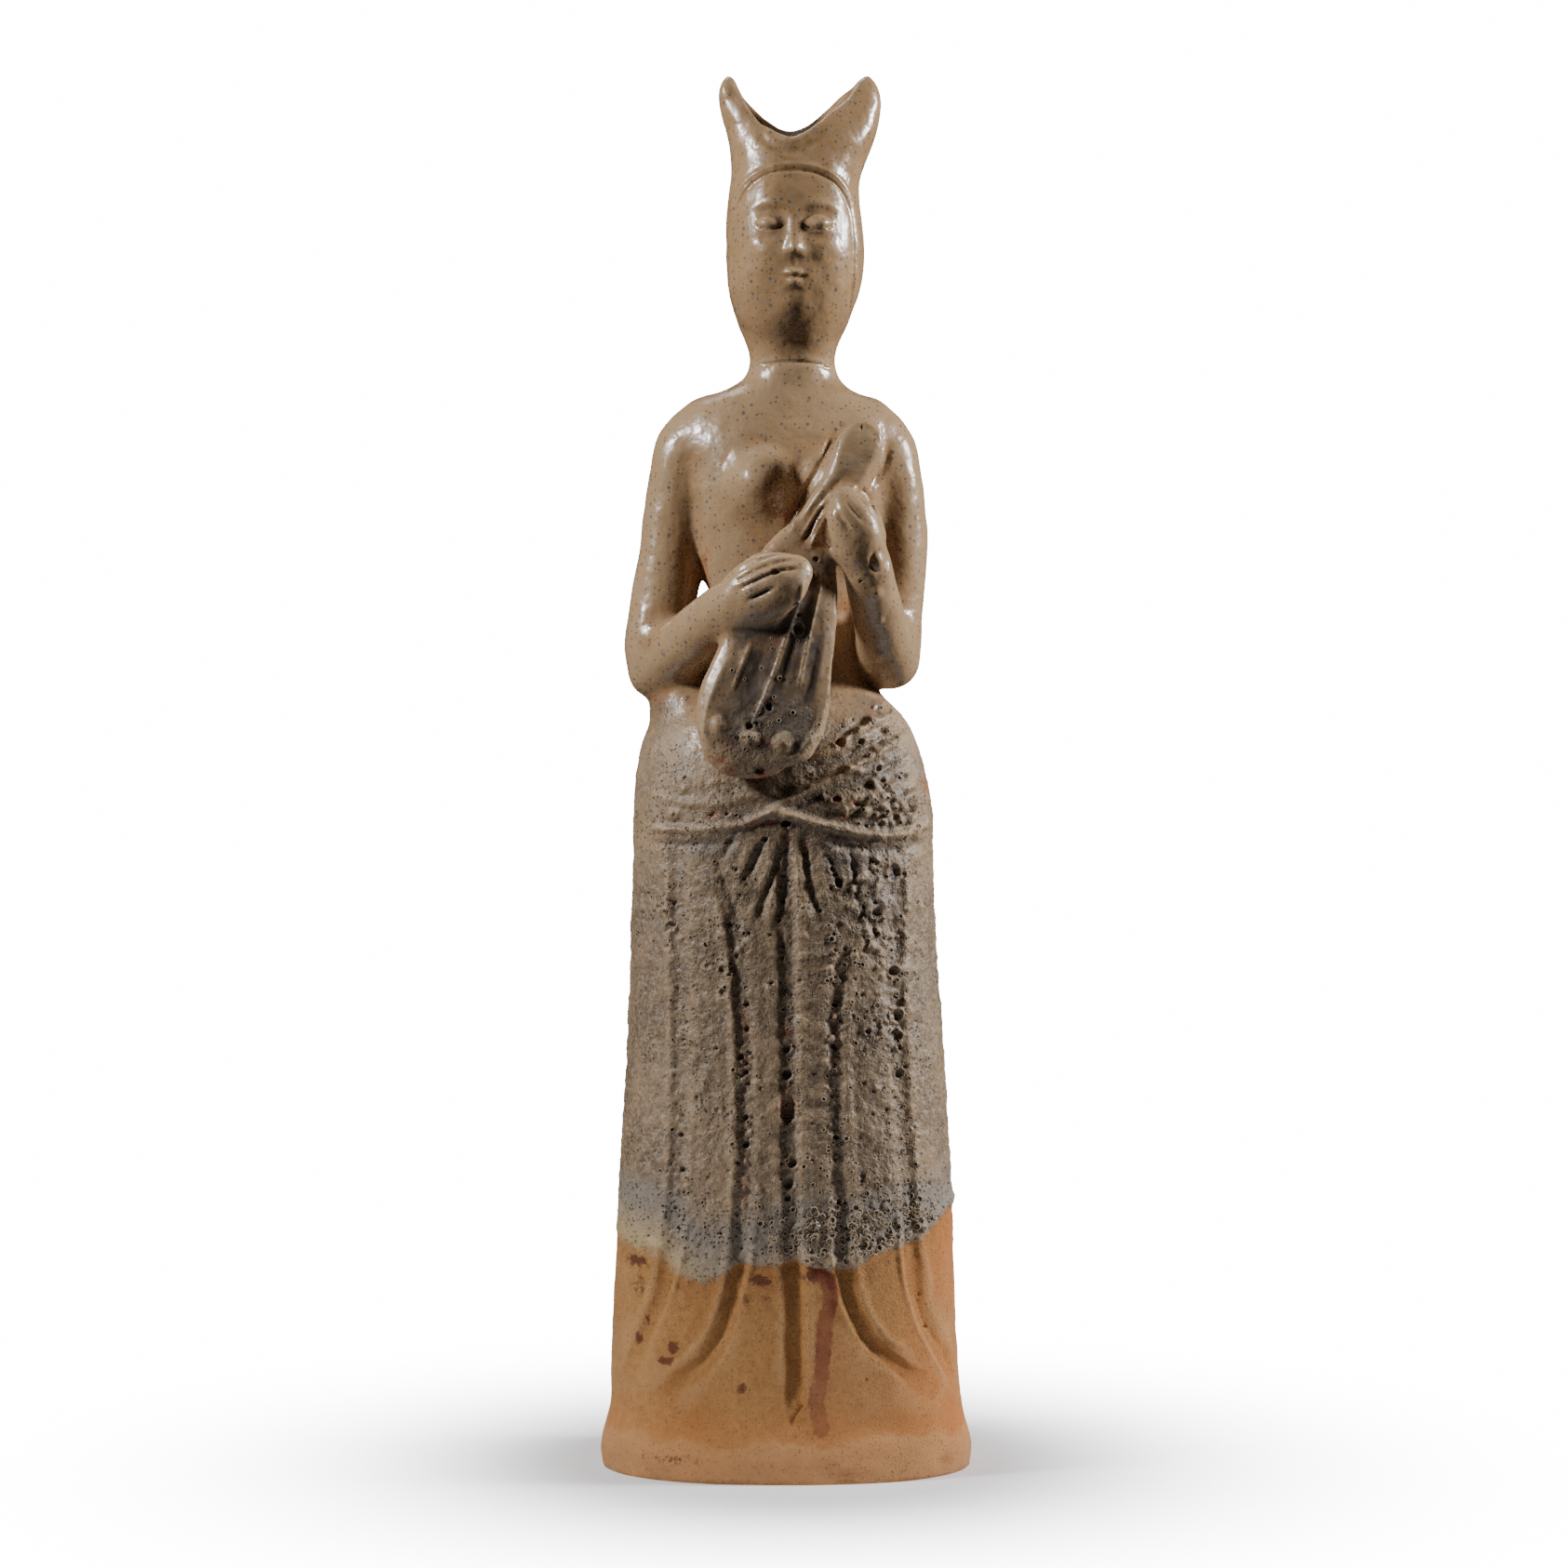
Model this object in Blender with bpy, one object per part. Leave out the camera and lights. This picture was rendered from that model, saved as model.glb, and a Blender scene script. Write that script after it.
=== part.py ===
"""Standing lute player, a tomb figure of glazed stoneware, made as one closed clay form.

Every table below is in units, and one unit is a five-hundredth of the figure's height: a
millimetre at the real size. X runs to the viewer's right, the figure faces -Y and stands on Z 0.
The clay shapes are lofted one by one, fused and smoothed as wet clay is, carved by strokes that
are drawn as the front view shows them, and at last cut flat below.
"""

import math

import bmesh
import bpy
import numpy as np

FIGURE_HEIGHT = 0.500
UNIT = FIGURE_HEIGHT / 500

FOOT_HEIGHT = 0.024
FOOT_OVERHANG = 0.0040

FUSING_VOXEL = 1.3 * UNIT
SMOOTHING_ROUNDS = 6
SOLID_TRIANGLES = 9300

RING_POINTS = 96
TUBE_POINTS = 40
FOOT_SINK = 8.0

CLAY_COLOUR = (0.40, 0.31, 0.23, 1.0)
CLAY_ROUGHNESS = 0.35

# Skirt, hips, bare torso, neck and hooded head as level sections from the ground up:
# height, centre X, half width, depth in front, depth behind, squareness of the section.
BODY_SECTIONS = [
    (-FOOT_SINK, -0.8, 63.6, 48.0, 45.5, 2.35),
    (20, -0.8, 63.6, 47.5, 45.0, 2.35),
    (40, -1.7, 62.8, 46.5, 44.0, 2.35),
    (60, -1.7, 61.8, 45.5, 43.0, 2.35),
    (80, -1.3, 61.0, 44.5, 42.5, 2.35),
    (110, -1.3, 59.5, 43.5, 41.5, 2.35),
    (150, -1.2, 57.3, 42.0, 40.5, 2.35),
    (190, -2.0, 55.2, 40.5, 39.5, 2.3),
    (220, -2.1, 54.2, 39.5, 39.0, 2.3),
    (240, -2.2, 53.8, 39.5, 39.0, 2.3),
    (252, -2.9, 51.9, 38.5, 38.5, 2.25),
    (262, -3.4, 49.2, 36.5, 37.0, 2.2),
    (269, -3.2, 45.5, 33.0, 34.0, 2.2),
    (275, -2.5, 39.5, 28.0, 29.5, 2.2),
    (280, -1.8, 33.0, 22.5, 25.0, 2.2),
    (287, -1.3, 27.8, 19.0, 21.5, 2.2),
    (298, -1.0, 25.6, 18.0, 20.0, 2.2),
    (309, -0.8, 25.8, 18.5, 19.7, 2.2),
    (319, -0.5, 29.8, 20.5, 20.2, 2.2),
    (330, 0.0, 33.5, 22.5, 21.0, 2.2),
    (348, 0.0, 36.5, 24.5, 22.5, 2.2),
    (362, 0.0, 38.5, 23.5, 22.5, 2.2),
    (372, -0.3, 40.0, 20.5, 21.0, 2.15),
    (378, -0.3, 38.8, 18.3, 19.0, 2.1),
    (382, -0.9, 34.5, 16.5, 17.5, 2.1),
    (386, -1.2, 26.8, 15.2, 16.5, 2.05),
    (389, 0.3, 20.5, 14.4, 16.0, 2.0),
    (392, 1.0, 16.9, 14.0, 15.7, 2.0),
    (396, 1.3, 15.8, 14.0, 15.5, 2.0),
    (401, 1.3, 15.8, 14.3, 15.7, 2.0),
    (404, 1.3, 16.7, 15.8, 16.6, 2.0),
    (408, 1.3, 18.5, 18.8, 18.6, 2.0),
    (412, 1.4, 20.2, 21.4, 20.6, 2.05),
    (416, 1.6, 21.7, 23.2, 22.4, 2.1),
    (424, 2.0, 23.9, 25.0, 24.8, 2.15),
    (432, 2.3, 24.8, 25.6, 26.3, 2.15),
    (440, 2.3, 25.0, 25.8, 27.0, 2.15),
    (448, 2.0, 24.5, 25.4, 27.0, 2.15),
    (456, 1.7, 23.7, 24.2, 26.6, 2.1),
    (462, 2.1, 23.4, 22.6, 26.0, 2.1),
    (468, 3.2, 24.0, 20.6, 25.0, 2.15),
    (474, 4.1, 25.6, 18.4, 23.6, 2.2),
    (480, 4.7, 27.2, 15.8, 21.0, 2.3),
    (486, 4.4, 28.8, 12.6, 17.0, 2.4),
    (492, 3.8, 29.6, 9.2, 12.4, 2.5),
    (497, 3.6, 28.6, 6.6, 8.4, 2.6),
    (501, 3.2, 26.0, 4.2, 5.2, 2.6),
]

# The valley between the two horns of the headdress: its outline seen from the front, and how
# far the floor of the valley rises from front to back.
VALLEY_OUTLINE = [
    (-31, 512),
    (-19.6, 500.5),
    (-17.6, 495.0),
    (-14.8, 489.8),
    (-9.3, 482.4),
    (-3.5, 477.8),
    (1.0, 476.6),
    (5.5, 478.2),
    (11.0, 482.8),
    (18.4, 491.4),
    (22.6, 496.0),
    (26.0, 501.0),
    (40, 512),
]
VALLEY_TOP = 530.0
VALLEY_RISE = [(-34, 0.0), (-14, 0.0), (-7, -2.2), (1, -1.6), (9, 3.0), (16, 5.6), (34, 6.5)]

# Limbs as round-ended tubes: X, Y, Z, half width across, half thickness towards the front.
LIMBS = {
    "left upper arm": [
        (-29.5, 2.0, 376, 10.0, 12.0),
        (-35.3, 2.0, 368, 12.4, 13.0),
        (-38.8, 2.0, 356, 12.0, 12.6),
        (-41.0, 2.0, 344, 11.6, 12.2),
        (-42.4, 2.0, 332, 11.6, 12.2),
        (-44.2, 1.4, 318, 12.1, 12.5),
        (-46.4, 0.4, 305, 12.2, 12.5),
        (-47.4, -1.5, 294, 12.2, 12.4),
        (-47.4, -3.0, 287, 11.0, 11.4),
    ],
    "left forearm": [
        (-47.6, -3.0, 287, 11.2, 11.2),
        (-41.0, -11.0, 292.0, 11.7, 11.3),
        (-33.0, -23.0, 299.0, 10.9, 10.3),
        (-26.0, -33.0, 305.0, 10.3, 9.3),
        (-19.5, -41.0, 309.2, 10.3, 8.0),
        (-15.0, -45.0, 311.5, 9.5, 7.0),
    ],
    "left hand": [
        (-19.2, -42.5, 309.3, 9.6, 7.0),
        (-14.0, -46.2, 312.2, 11.0, 6.6),
        (-8.6, -48.8, 315.6, 11.8, 6.2),
        (-2.5, -50.2, 318.9, 11.0, 5.8),
        (2.2, -50.2, 321.4, 8.6, 5.2),
        (4.2, -49.6, 322.6, 6.2, 4.4),
    ],
    "left thumb": [
        (-21.0, -43.0, 318.5, 2.6, 3.4),
        (-16.5, -45.5, 322.6, 2.2, 3.2),
        (-12.0, -46.5, 326.0, 1.7, 2.6),
        (-8.8, -46.5, 328.4, 1.2, 1.9),
    ],
    "right upper arm": [
        (28.5, 2.0, 376, 10.0, 12.0),
        (33.8, 2.0, 367, 12.0, 13.0),
        (36.9, 2.0, 355, 11.6, 12.4),
        (38.7, 2.0, 343, 11.3, 12.0),
        (39.3, 2.0, 331, 11.2, 12.0),
        (38.5, 1.4, 318, 11.1, 12.0),
        (37.6, 0.4, 306, 11.0, 12.0),
        (37.2, -1.5, 296, 11.2, 12.0),
        (36.9, -3.0, 290, 10.4, 11.0),
    ],
    "right forearm": [
        (36.9, -3.5, 290, 10.8, 10.8),
        (35.0, -12.0, 296.0, 10.6, 10.6),
        (32.2, -22.0, 305.0, 9.7, 9.6),
        (29.6, -31.0, 315.0, 9.2, 8.8),
        (27.6, -37.0, 324.0, 9.0, 7.8),
        (26.4, -39.5, 329.0, 8.2, 7.0),
    ],
    "right hand": [
        (26.6, -37.5, 325.0, 8.8, 7.6),
        (24.6, -40.8, 332.0, 9.6, 7.6),
        (22.4, -42.6, 338.8, 9.4, 7.2),
        (20.4, -42.6, 344.0, 7.8, 6.4),
        (19.4, -42.0, 346.4, 5.8, 5.2),
    ],
    "right thumb": [
        (33.0, -36.0, 334.0, 2.2, 4.0),
        (31.6, -35.0, 340.5, 1.9, 3.6),
        (29.6, -33.5, 345.5, 1.5, 3.0),
    ],
}

# The lute lies along this line: X, Y, Z, half width across, half thickness.
LUTE_STATIONS = [
    (-13.6, -43.6, 252.0, 11.4, 3.2),
    (-13.6, -43.6, 254.0, 14.7, 4.4),
    (-13.3, -43.6, 256.8, 17.8, 5.2),
    (-12.4, -43.4, 261.0, 20.6, 5.8),
    (-11.0, -43.1, 267.0, 22.6, 6.0),
    (-8.9, -42.6, 275.2, 23.3, 6.2),
    (-6.6, -41.9, 284.0, 21.9, 6.0),
    (-3.3, -40.8, 297.0, 19.4, 5.8),
    (-0.6, -39.6, 309.0, 18.0, 5.6),
    (2.0, -38.2, 320.0, 16.0, 5.4),
    (4.0, -37.0, 328.0, 12.6, 5.2),
    (6.2, -34.0, 334.5, 8.0, 7.0),
    (8.4, -34.0, 340.0, 5.2, 7.0),
    (12.2, -34.0, 346.4, 5.0, 7.0),
    (17.0, -34.0, 351.4, 6.4, 7.0),
    (19.8, -33.8, 354.8, 7.4, 7.0),
    (22.6, -33.0, 360.4, 8.1, 7.0),
    (24.6, -32.0, 365.0, 8.6, 7.0),
    (26.6, -30.8, 369.4, 7.0, 6.6),
    (27.4, -29.6, 371.2, 5.0, 5.6),
]
LUTE_SQUARENESS = 3.2

# Rounded swellings of the clay: centre, then half sizes along X, Y and Z.
SWELLINGS = {
    "left horn tip": [(-21.6, -1.0, 493.2), (3.9, 5.4, 7.4)],
    "right horn tip": [(26.9, -1.0, 490.6), (5.9, 5.8, 8.8)],
    "left breast": [(-10.0, -15.6, 354.4), (15.0, 14.6, 15.5)],
    "right breast": [(15.6, -15.2, 354.4), (14.5, 14.4, 15.0)],
    "back of the hips": [(-2.5, 26.0, 244.0), (38.0, 14.5, 24.0)],
    "back of the shoulders": [(-0.5, 14.0, 360.0), (28.0, 9.5, 20.0)],
    "left of the waist": [(-35.0, 2.0, 273.0), (15.5, 22.0, 16.0)],
    "inside the right elbow": [(27.0, 1.0, 298.0), (8.0, 12.0, 18.0)],
}


# The face is a plain oval with the features set by halves and thirds: eyes midway between chin
# and crown, the nose ending midway between brow and chin, the mouth a third of the way below.
FACE_CENTRE = 2.0
CHIN = 412.5
CROWN = 478.0
EYE_LEVEL = (CHIN + CROWN) / 2
BROW_LEVEL = EYE_LEVEL + 6.0
NOSE_LEVEL = (BROW_LEVEL + CHIN) / 2 + 1.5
MOUTH_LEVEL = NOSE_LEVEL - (NOSE_LEVEL - CHIN) / 3
EYE_WIDTH = 8.4
FACE_FRONT = -25.4


def facial_shapes():
    """Nose and brows as tubes, and lids, nostrils, lips, chin and cheeks as swellings."""
    x, y = FACE_CENTRE, FACE_FRONT
    nose = [
        (x, y + 0.6, BROW_LEVEL - 1.0, 2.0, 1.6),
        (x, y - 0.7, EYE_LEVEL - 0.5, 2.0, 2.0),
        (x, y - 2.6, NOSE_LEVEL + 5.5, 2.5, 2.4),
        (x, y - 3.8, NOSE_LEVEL + 2.4, 3.1, 2.8),
    ]
    tubes = [nose]
    swellings = [
        [(x, y - 0.5, MOUTH_LEVEL + 1.5), (5.6, 2.9, 1.7)],
        [(x, y - 0.1, MOUTH_LEVEL - 1.6), (4.6, 3.0, 1.9)],
        [(x, y + 4.0, CHIN + 4.0), (7.0, 4.6, 4.6)],
    ]
    for side in (-1, 1):
        tubes.append([
            (x + side * 2.6, y - 0.1, BROW_LEVEL - 1.2, 1.4, 1.6),
            (x + side * EYE_WIDTH, y + 0.5, BROW_LEVEL + 1.4, 1.4, 1.8),
            (x + side * EYE_WIDTH * 1.7, y + 4.2, BROW_LEVEL - 0.6, 1.2, 1.6),
        ])
        swellings.append([(x + side * 3.3, y - 1.5, NOSE_LEVEL + 1.6), (2.2, 2.4, 2.0)])
        swellings.append([(x + side * EYE_WIDTH * 1.02, y + 2.2, EYE_LEVEL), (4.8, 3.2, 2.7)])
        swellings.append([(x + side * 10.5, y + 7.5, NOSE_LEVEL + 1.5), (8.5, 6.6, 9.0)])
    return tubes, swellings


def read_between(keys, table, wanted):
    """A table's rows read at any keys, along a curve that passes smoothly through all of them."""
    keys = np.asarray(keys, float)
    table = np.asarray(table, float)
    step = np.diff(keys)[:, None]
    slope = np.diff(table, axis=0) / step
    inner = (slope[:-1] * step[1:] + slope[1:] * step[:-1]) / (step[1:] + step[:-1])
    tangent = np.vstack([slope[:1], inner, slope[-1:]])
    row = np.clip(np.searchsorted(keys, wanted, side="right") - 1, 0, len(keys) - 2)
    width = step[row]
    t = (np.asarray(wanted)[:, None] - keys[row][:, None]) / width
    return (
        (1 + 2 * t) * (1 - t) ** 2 * table[row]
        + t * (1 - t) ** 2 * width * tangent[row]
        + t * t * (3 - 2 * t) * table[row + 1]
        + t * t * (t - 1) * width * tangent[row + 1]
    )


def superellipse(count, squareness):
    """Points of a unit superellipse: 2 is a circle, and more is squarer."""
    turn = np.linspace(0, 2 * math.pi, count, endpoint=False)
    power = 2 / squareness
    across = np.sign(np.cos(turn)) * np.abs(np.cos(turn)) ** power
    along = np.sign(np.sin(turn)) * np.abs(np.sin(turn)) ** power
    return across, along


def add_skin(shape, rings):
    """Adds a closed skin over rings of equally many points, in units, with both ends capped."""
    made = [[shape.verts.new(point * UNIT) for point in ring] for ring in rings]
    count = len(rings[0])
    for lower, upper in zip(made, made[1:]):
        for i in range(count):
            after = (i + 1) % count
            shape.faces.new((lower[i], lower[after], upper[after], upper[i]))
    shape.faces.new(reversed(made[0]))
    shape.faces.new(made[-1])


def body_rings(sections, heights):
    """Level rings of the body at these heights."""
    table = np.array(sections, float)
    rows = read_between(table[:, 0], table[:, 1:], heights)
    rings = []
    for z, (x, half_width, front, back, squareness) in zip(heights, rows):
        across, along = superellipse(RING_POINTS, squareness)
        depth = np.where(along < 0, front, back)
        rings.append(
            np.stack([x + half_width * across, depth * along, np.full_like(across, z)], axis=1)
        )
    return rings


def foot_rings():
    """The thickened edge at the ground: the lowest skirt section, pushed out by the overhang."""
    height = FOOT_HEIGHT / UNIT
    overhang = FOOT_OVERHANG / UNIT
    profile = [(-0.35, 0.6), (0.0, 0.72), (0.1, 0.93), (0.22, 1.0), (0.42, 0.84), (0.62, 0.46),
               (0.8, 0.12), (1.0, -0.3)]
    levels = [share * height for share, _ in profile]
    rings = body_rings(BODY_SECTIONS, np.full(len(profile), height))
    for ring, level, (_, push) in zip(rings, levels, profile):
        outward = ring[:, :2] / np.linalg.norm(ring[:, :2], axis=1)[:, None]
        sideways = 0.5 + 0.5 * np.abs(outward[:, :1]) ** 2
        ring[:, :2] += outward * sideways * overhang * push
        ring[:, 2] = level
    return rings


def tube_rings(stations, squareness=2.0, spacing=2.0):
    """Rings across a line of stations, flat side to the front, with both ends rounded off."""
    table = np.array(stations, float)
    run = np.append(0, np.cumsum(np.linalg.norm(np.diff(table[:, :3], axis=0), axis=1)))
    wanted = np.linspace(0, run[-1], max(4, int(run[-1] / spacing)))
    rows = read_between(run, table, wanted)
    centres = rows[:, :3]
    ahead = np.gradient(centres, axis=0)
    ahead /= np.linalg.norm(ahead, axis=1)[:, None]
    side = np.cross(ahead, (0.0, -1.0, 0.0))
    side /= np.linalg.norm(side, axis=1)[:, None]
    toward = np.cross(side, ahead)
    across, along = superellipse(TUBE_POINTS, squareness)
    rings = [
        c + np.outer(across * w, s) + np.outer(along * d, t)
        for c, s, t, w, d in zip(centres, side, toward, rows[:, 3], rows[:, 4])
    ]
    for end, way in ((0, -1), (-1, 1)):
        bulge = min(rows[end, 3], rows[end, 4])
        cap = []
        for angle in np.radians((25, 50, 75)):
            shrunk = centres[end] + (rings[end] - centres[end]) * math.cos(angle)
            cap.append(shrunk + way * ahead[end] * bulge * math.sin(angle))
        rings = cap[::-1] + rings if end == 0 else rings + cap
    return rings


def valley_rings():
    """The solid that is cut away between the horns, lofted from front to back."""
    top = [(VALLEY_OUTLINE[-1][0], VALLEY_TOP), (VALLEY_OUTLINE[0][0], VALLEY_TOP)]
    rings = []
    for y, rise in VALLEY_RISE:
        floor = [(x, z + rise) for x, z in VALLEY_OUTLINE]
        rings.append(np.array([(x, y, z) for x, z in floor + top]))
    return rings


def add_swelling(shape, centre, half_sizes):
    """Adds an ellipsoid."""
    made = bmesh.ops.create_uvsphere(shape, u_segments=32, v_segments=20, radius=1.0)
    for vert in made["verts"]:
        vert.co = [(c + h * v) * UNIT for c, h, v in zip(centre, half_sizes, vert.co)]


def mesh_object(name, shape):
    """A bmesh as an object in the scene."""
    bmesh.ops.recalc_face_normals(shape, faces=shape.faces)
    mesh = bpy.data.meshes.new(name)
    shape.to_mesh(mesh)
    shape.free()
    made = bpy.data.objects.new(name, mesh)
    bpy.context.scene.collection.objects.link(made)
    return made


def evaluated_mesh(made):
    """The object's mesh with its modifiers worked out, as a new mesh."""
    graph = bpy.context.evaluated_depsgraph_get()
    graph.update()
    return bpy.data.meshes.new_from_object(made.evaluated_get(graph))


def remove(made):
    """Takes a finished helper out of the scene."""
    bpy.data.objects.remove(made)


def headed_body():
    """The body and foot as a mesh, with the valley cut between the horns of the headdress."""
    table = np.array(BODY_SECTIONS)
    body_shape = bmesh.new()
    heights = np.linspace(table[0, 0], table[-1, 0], 200)
    add_skin(body_shape, body_rings(BODY_SECTIONS, heights))
    body = mesh_object("body_loft", body_shape)
    valley_shape = bmesh.new()
    add_skin(valley_shape, valley_rings())
    valley = mesh_object("valley_cutter", valley_shape)
    valley.hide_render = True
    valley.display_type = "WIRE"
    cut = body.modifiers.new("Valley", "BOOLEAN")
    cut.object = valley
    cut.operation = "DIFFERENCE"
    mesh = evaluated_mesh(body)
    remove(body)
    remove(valley)
    return mesh


def rough_figure():
    """Every clay shape, overlapping its neighbours, as one object."""
    shape = bmesh.new()
    shape.from_mesh(headed_body())
    add_skin(shape, foot_rings())
    for stations in LIMBS.values():
        add_skin(shape, tube_rings(stations))
    add_skin(shape, tube_rings(LUTE_STATIONS, LUTE_SQUARENESS))
    face_tubes, face_swellings = facial_shapes()
    for stations in face_tubes:
        add_skin(shape, tube_rings(stations, spacing=1.0))
    for centre, half_sizes in list(SWELLINGS.values()) + face_swellings:
        add_swelling(shape, centre, half_sizes)
    return mesh_object("rough_figure", shape)


def fused(made):
    """The shapes fused into one skin, with the joins smoothed over."""
    fuse = made.modifiers.new("Fuse", "REMESH")
    fuse.mode = "VOXEL"
    fuse.voxel_size = FUSING_VOXEL
    smooth = made.modifiers.new("Smooth joins", "SMOOTH")
    smooth.factor = 0.5
    smooth.iterations = SMOOTHING_ROUNDS
    return evaluated_mesh(made)


# Strokes are drawn on the front as (X, Z) points, with a half width and a height: above 0 it
# raises the clay, and below 0 it cuts a groove. Each group works between two depths (Y) only.
SKIRT_STROKES = [
    # The centre pleat, and two long folds on either side that sweep outwards at the hem.
    ([(-1.0, 221), (-0.6, 176), (0.3, 136), (0.6, 97), (2.2, 64), (2.6, 26)], 3.4, -2.3),
    ([(-23, 211), (-19, 200), (-17, 181), (-15.2, 156), (-14.8, 130), (-15.4, 100), (-16.4, 82),
      (-19, 65), (-24, 50), (-29, 42), (-37, 36), (-42, 31)], 3.2, -1.9),
    ([(-39.6, 231), (-39.2, 196), (-38.4, 165), (-38.4, 130), (-39.4, 97), (-42, 75), (-45, 63),
      (-49, 53), (-54, 43), (-57, 36)], 3.2, -1.9),
    ([(20.2, 189), (17.8, 180), (16.4, 163), (16.3, 130), (18.2, 100), (18.9, 72), (22.3, 60),
      (27, 51), (32, 45), (41, 38), (50, 32)], 3.2, -1.9),
    ([(37.9, 222), (37, 170), (38.2, 143), (40.6, 107), (42.6, 79), (45.5, 62), (51, 49),
      (57, 38), (59.5, 31)], 3.2, -1.9),
    # Short pleats that fan out below the crossing of the sash.
    ([(-19.7, 230), (-23.9, 219)], 2.2, -1.4),
    ([(-7.9, 228), (-14.8, 214)], 2.2, -1.6),
    ([(-2.4, 224), (-7.9, 208), (-11.0, 199)], 2.2, -1.6),
    ([(0.2, 230), (-1.6, 209), (-6.5, 192)], 2.2, -1.4),
    ([(5.4, 227), (7.8, 212), (11.4, 200)], 2.2, -1.7),
    ([(14.0, 223), (18.0, 209)], 2.2, -1.5),
    ([(20.2, 225), (23.8, 214), (24.2, 206)], 2.2, -1.4),
]
SASH_STROKES = [
    # The rolled edges where the wrapped cloth crosses below the lute.
    ([(-50, 231), (-38, 230.5), (-28, 231), (-18, 232.4), (-9.6, 235.6), (-1.4, 240.7), (11, 247.3),
      (28, 255.5), (40, 263)], 2.4, 1.5),
    ([(-9.6, 235.5), (-4, 236.4), (7, 233.8), (24, 229.6), (41, 229), (51, 233.5)], 2.8, 2.0),
    ([(-1, 237.4), (8, 241.2), (20, 246.4), (31, 250.6), (45, 257)], 2.0, -1.2),
    ([(5, 255.5), (15, 259), (26, 266), (32, 268.6), (39, 271)], 2.2, 1.4),
    ([(10, 238.5), (24, 241), (38, 245), (50, 251)], 4.5, 1.2),
]
HEAD_STROKES = [
    # The hood's edge round the face, the seam where the neck was joined, and the chin.
    ([(-15.5, 404), (-18.6, 414), (-20.2, 428), (-20.0, 443), (-18.6, 455), (-14.0, 462.5),
      (-7.0, 466.4), (1.6, 467.6), (10.2, 466.4), (17.6, 462.0), (22.2, 454), (23.6, 442),
      (23.6, 428), (22.0, 414), (19.0, 404)], 1.5, -1.3),
    ([(-14, 395.2), (-6, 396.4), (2, 396.8), (10, 396.2), (17, 394.4)], 1.0, -0.7),
    ([(-12, 487.5), (-7, 481.2), (-1, 474.6), (5, 474.8), (12, 481), (20, 489)], 2.0, 1.2),
]
LUTE_STROKES = [
    # Raised rims, three ridges of strings and three discs at the foot of the soundboard.
    ([(17.2, 313), (17.2, 304), (16.4, 296), (14.8, 284), (13.0, 275), (10.6, 268)], 1.8, 1.3),
    ([(-17.5, 303), (-22.0, 292), (-27.0, 280), (-29.6, 272)], 1.8, 1.1),
    ([(-10.5, 302), (-14.7, 292), (-19.3, 281)], 1.6, 1.2),
    ([(3.0, 312), (-0.5, 300), (-4.2, 289), (-7.6, 280), (-12.2, 269.7)], 1.6, 1.5),
    ([(10.9, 319), (8.4, 306), (6.2, 295), (3.4, 281), (0.8, 270)], 1.6, 1.5),
    ([(15.0, 368), (12.6, 361), (9.4, 353), (5.4, 346.4), (1.8, 340), (-1.0, 333)], 1.4, 1.0),
    ([(11.0, 344), (8.0, 339), (4.2, 332)], 1.2, 1.0),
    ([(26.2, 374), (25.4, 371)], 1.1, -0.9),
]
HAND_STROKES = [
    # Grooves between the fingers of both hands.
    ([(-18.0, 320.4), (-8.5, 325.0), (1.6, 328.2)], 1.5, -1.3),
    ([(-15.4, 318.4), (-7.5, 320.6), (2.4, 323.6)], 1.5, -1.3),
    ([(-14.0, 311.2), (-8.5, 314.0), (1.2, 318.2)], 1.5, -1.3),
    ([(15.4, 343.2), (19.2, 338.8), (22.9, 334.2)],1.5, -1.3),
    ([(19.0, 346.2), (22.7, 341.9), (26.3, 336.6)],1.5, -1.3),
    ([(23.2, 347.0), (26.6, 342.4), (29.8, 336.9)],1.5, -1.3),
]
# Each group: its strokes, and the depths between which it works.
STROKE_GROUPS = [
    (SKIRT_STROKES, -60.0, -4.0),
    (SASH_STROKES, -60.0, -4.0),
    (HEAD_STROKES, -40.0, -1.0),
    (LUTE_STROKES, -56.0, -30.5),
    (HAND_STROKES, -62.0, -38.0),
]

# Discs and the face, as rounded mounds: centre X and Z, half sizes, height.
LUTE_MOUNDS = [
    (-24.6, 267.8, 4.4, 4.4, 1.5),
    (-13.8, 263.6, 4.8, 4.8, 1.5),
    (-2.2, 262.0, 4.8, 4.8, 1.5),
]
FACE_MOUNDS = [
    (FACE_CENTRE - 4.6, EYE_LEVEL, 3.2, 4.0, -1.3),
    (FACE_CENTRE + 4.6, EYE_LEVEL, 3.2, 4.0, -1.3),
    (FACE_CENTRE - 9.0, EYE_LEVEL + 3.4, 6.0, 2.2, -0.8),
    (FACE_CENTRE + 9.0, EYE_LEVEL + 3.4, 6.0, 2.2, -0.8),
    (FACE_CENTRE - 8.4, EYE_LEVEL - 3.4, 5.6, 2.2, -0.8),
    (FACE_CENTRE + 8.4, EYE_LEVEL - 3.4, 5.6, 2.2, -0.8),
]
FACE_STROKES = [
    ([(FACE_CENTRE - 5.8, MOUTH_LEVEL + 0.2), (FACE_CENTRE, MOUTH_LEVEL),
      (FACE_CENTRE + 5.8, MOUTH_LEVEL + 0.2)], 1.3, -1.0),
    ([(FACE_CENTRE - 5.0, MOUTH_LEVEL - 4.4), (FACE_CENTRE, MOUTH_LEVEL - 4.8),
      (FACE_CENTRE + 5.0, MOUTH_LEVEL - 4.4)], 2.0, -0.9),
]


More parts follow.
